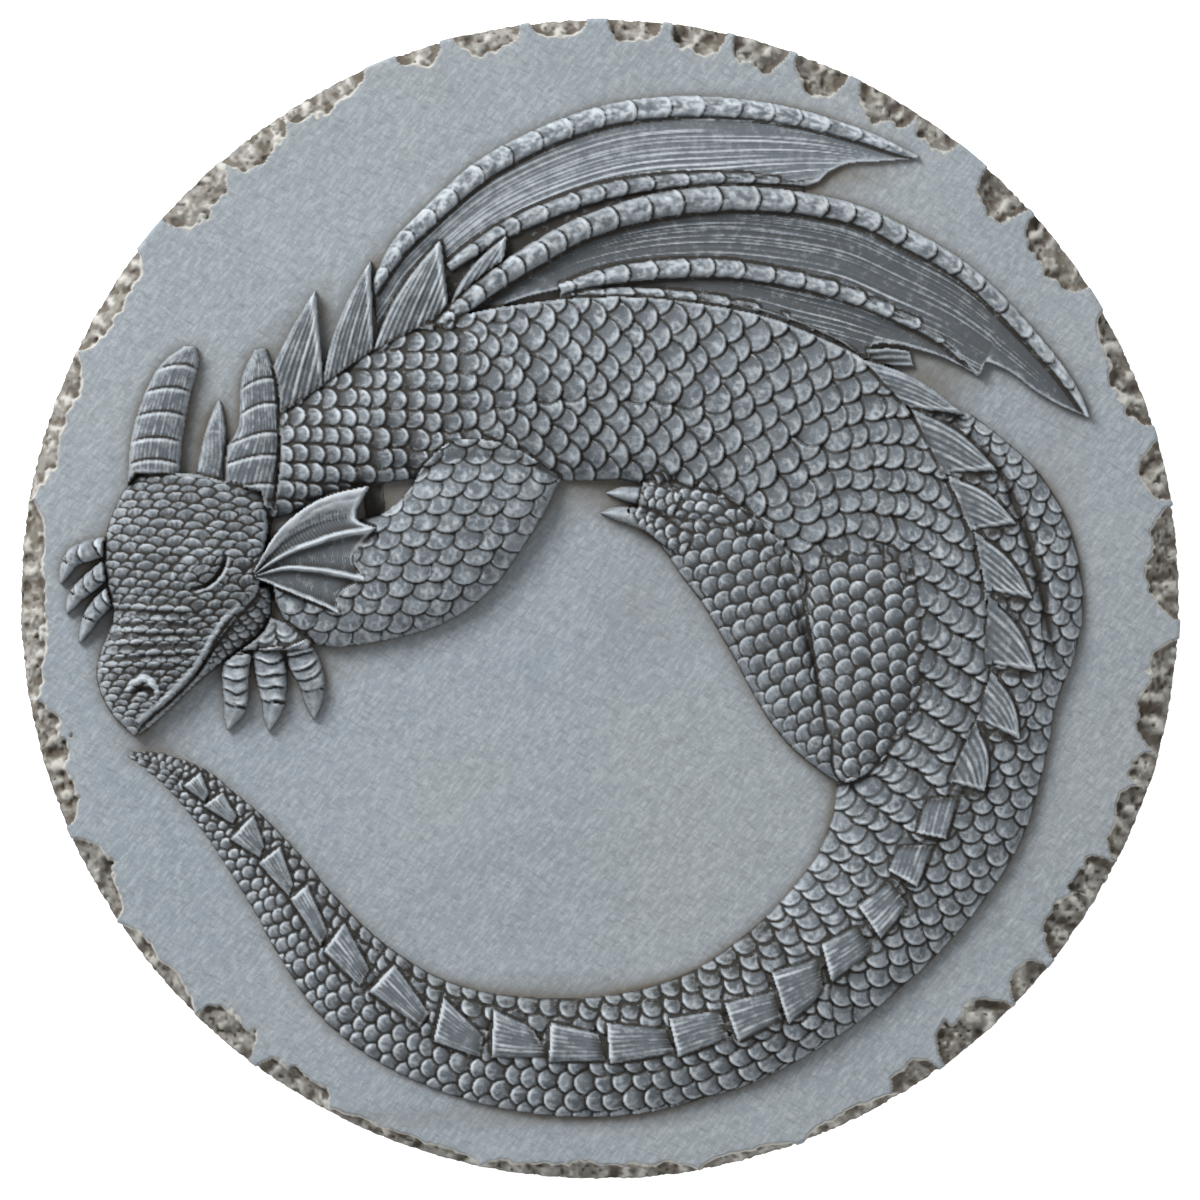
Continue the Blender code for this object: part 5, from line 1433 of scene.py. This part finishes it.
def stone_material():
    """Cast stone painted blue-grey, washed brown in the hollows with painted shade in the same dark brown,
    and rubbed pale on the raised edges.
    """
    material = bpy.data.materials.new("antiqued_stone")
    material.use_nodes = True
    nodes, links = material.node_tree.nodes, material.node_tree.links
    surface = nodes["Principled BSDF"]
    place = nodes.new("ShaderNodeTexCoord").outputs["Object"]

    def attribute(name):
        node = nodes.new("ShaderNodeAttribute")
        node.attribute_name = name
        return node.outputs["Fac"]

    def speckle(scale, detail, roughness=0.6, stretch=None):
        node = nodes.new("ShaderNodeTexNoise")
        node.inputs["Scale"].default_value = scale
        node.inputs["Detail"].default_value = detail
        node.inputs["Roughness"].default_value = roughness
        source = place
        if stretch:
            mapping = nodes.new("ShaderNodeMapping")
            mapping.vector_type = "TEXTURE"
            mapping.inputs["Rotation"].default_value = (0, 0, stretch[0])
            mapping.inputs["Scale"].default_value = stretch[1]
            links.new(place, mapping.inputs["Vector"])
            source = mapping.outputs["Vector"]
        links.new(source, node.inputs["Vector"])
        return node.outputs["Fac"]

    def ranged(value, low, high, to_low=0.0, to_high=1.0):
        node = nodes.new("ShaderNodeMapRange")
        links.new(value, node.inputs["Value"])
        for key, amount in (("From Min", low), ("From Max", high), ("To Min", to_low), ("To Max", to_high)):
            node.inputs[key].default_value = amount
        return node.outputs["Result"]

    def maths(kind, a, b):
        node = nodes.new("ShaderNodeMath")
        node.operation = kind
        for socket, value in zip(node.inputs, (a, b)):
            if isinstance(value, (int, float)):
                socket.default_value = value
            else:
                links.new(value, socket)
        return node.outputs["Value"]

    def mixed(share, a, b):
        node = nodes.new("ShaderNodeMix")
        node.data_type = "RGBA"
        for socket, value in ((node.inputs[0], share), (node.inputs[6], a), (node.inputs[7], b)):
            if isinstance(value, (int, float)):
                socket.default_value = value
            elif isinstance(value, tuple):
                socket.default_value = (*value, 1.0)
            else:
                links.new(value, socket)
        return node.outputs[2]

    clouds = speckle(28, 5)
    drift = speckle(9, 3)
    fine = speckle(420, 6, 0.7)
    brushed = speckle(760, 5, 0.75, (0.9, (2.4, 0.7, 1.0)))
    crossed = speckle(700, 4, 0.75, (-0.5, (2.2, 0.7, 1.0)))
    grain = speckle(1500, 3, 0.7)
    slab = mixed(ranged(clouds, 0.3, 0.7), (0.235, 0.275, 0.312), (0.285, 0.322, 0.352))
    slab = mixed(ranged(drift, 0.45, 0.7, 0.0, 0.5), slab, (0.275, 0.290, 0.290))
    slab = mixed(ranged(brushed, 0.45, 0.66, 0.0, 0.75), slab, (0.41, 0.445, 0.47))
    slab = mixed(ranged(crossed, 0.50, 0.68, 0.0, 0.65), slab, (0.185, 0.205, 0.22))
    slab = mixed(ranged(fine, 0.56, 0.80, 0.0, 0.5), slab, (0.17, 0.19, 0.20))
    stain = maths("MULTIPLY", ranged(attribute("stain"), 0.05, 0.60), ranged(clouds, 0.35, 0.62, 0.45, 0.95))
    slab = mixed(stain, slab, (0.135, 0.115, 0.088))
    skin = mixed(ranged(fine, 0.35, 0.7), (0.082, 0.096, 0.110), (0.140, 0.158, 0.175))
    skin = mixed(ranged(attribute("tone"), -1.0, 1.0, 0.0, 0.30), skin, (0.25, 0.285, 0.315))
    # Dark brown of the washing in the hollows, which also carries the painted shade of crevices, folds and
    # gaps.
    wash = ranged(maths("ADD", attribute("wash"), ranged(fine, 0.3, 0.7, -0.12, 0.12)), 0.05, 0.85, 0.0, 0.94)
    skin = mixed(wash, skin, (0.026, 0.022, 0.017))
    rub = ranged(maths("ADD", attribute("rub"), ranged(fine, 0.3, 0.7, -0.28, 0.24)), 0.05, 0.95, 0.0, 0.92)
    skin = mixed(rub, skin, (0.54, 0.59, 0.63))
    colour = mixed(attribute("dragon"), slab, skin)
    broken = mixed(ranged(speckle(120, 6, 0.7), 0.38, 0.62), (0.155, 0.142, 0.118), (0.285, 0.28, 0.26))
    broken = mixed(ranged(fine, 0.55, 0.72, 0.0, 0.7), broken, (0.11, 0.095, 0.075))
    broken = mixed(ranged(attribute("rub"), 0.15, 0.9, 0.0, 0.75), broken, (0.56, 0.55, 0.51))
    # Dark in the chips' hollows: brown washing with painted shade.
    broken = mixed(ranged(attribute("wash"), 0.15, 0.9, 0.0, 0.75), broken, (0.075, 0.058, 0.042))
    colour = mixed(attribute("chip"), colour, broken)
    links.new(colour, surface.inputs["Base Color"])
    links.new(ranged(fine, 0.3, 0.7, 0.70, 0.92), surface.inputs["Roughness"])
    surface.inputs["Specular IOR Level"].default_value = 0.25
    bump = nodes.new("ShaderNodeBump")
    bump.inputs["Strength"].default_value = 0.5
    bump.inputs["Distance"].default_value = 0.0004
    rough = maths("ADD", maths("MULTIPLY", fine, 0.7), maths("MULTIPLY", grain, 0.3))
    links.new(rough, bump.inputs["Height"])
    links.new(bump.outputs["Normal"], surface.inputs["Normal"])
    return material


# Each light is its name, place, size and power.
LIGHTS = (("key", (-0.85, 1.05, 1.15), 0.75, 34.0), ("fill", (0.9, -0.5, 1.3), 1.4, 4.0))


def studio():
    """Pale floor, a large soft light from the upper left and a plain pale surrounding."""
    bpy.ops.mesh.primitive_plane_add(size=6.0)
    floor = bpy.context.object
    floor.name = "floor"
    material = bpy.data.materials.new("pale_floor")
    material.use_nodes = True
    surface = material.node_tree.nodes["Principled BSDF"]
    surface.inputs["Base Color"].default_value = (0.9, 0.9, 0.9, 1.0)
    surface.inputs["Roughness"].default_value = 0.9
    surface.inputs["Emission Color"].default_value = (1.0, 1.0, 1.0, 1.0)
    surface.inputs["Emission Strength"].default_value = 0.75
    floor.data.materials.append(material)
    for name, where, size, power in LIGHTS:
        light = bpy.data.lights.new(name, "AREA")
        light.size = size
        light.energy = power
        lamp = bpy.data.objects.new(name, light)
        lamp.location = where
        aim = -np.array(where)
        lean = np.arccos(-aim[2] / np.linalg.norm(aim))
        lamp.rotation_euler = (lean, 0, np.arctan2(aim[1], aim[0]) - np.pi / 2)
        bpy.context.scene.collection.objects.link(lamp)
    world = bpy.data.worlds.new("studio")
    world.use_nodes = True
    world.node_tree.nodes["Background"].inputs["Color"].default_value = (1.0, 1.0, 1.0, 1.0)
    world.node_tree.nodes["Background"].inputs["Strength"].default_value = 0.42
    bpy.context.scene.world = world
    bpy.context.scene.view_settings.view_transform = "Standard"


def straight_down():
    """Camera far above the stone, which looks straight down on it with the top of the design upwards."""
    camera = bpy.data.cameras.new("camera")
    eye = bpy.data.objects.new("camera", camera)
    away = 3.0
    camera.sensor_width = 36.0
    camera.lens = camera.sensor_width * away / (SHEET * SCALE)
    camera.clip_end = 20.0
    x, y = (SHEET / 2 - CENTRE[0]) * SCALE, (CENTRE[1] - SHEET / 2) * SCALE
    eye.location = (x, y, SLAB_THICKNESS + away)
    bpy.context.scene.collection.objects.link(eye)
    bpy.context.scene.camera = eye


DRAGON_PIECES = (
    ("dragon_head", HEAD_GROUP),
    ("dragon_trunk", TRUNK_GROUP),
    ("dragon_tail", TAIL_GROUP),
    ("dragon_leg", LEG_GROUP),
    ("dragon_back", BACK_GROUP),
    ("dragon_wings", WING_GROUP),
)

maps = dragon_map()
paint = paint_maps(maps)
stone = stone_material()
pieces = [
    *(dragon_piece(name, maps, paint, group) for name, group in DRAGON_PIECES),
    face_piece(maps, paint),
    rim_piece(paint),
]
for piece in pieces:
    piece.data.materials.append(stone)
    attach(piece, "root")
    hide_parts("dragon_stepping_stone")
    print(piece.name, "triangles", sum(len(polygon.vertices) - 2 for polygon in piece.data.polygons))
studio()
straight_down()
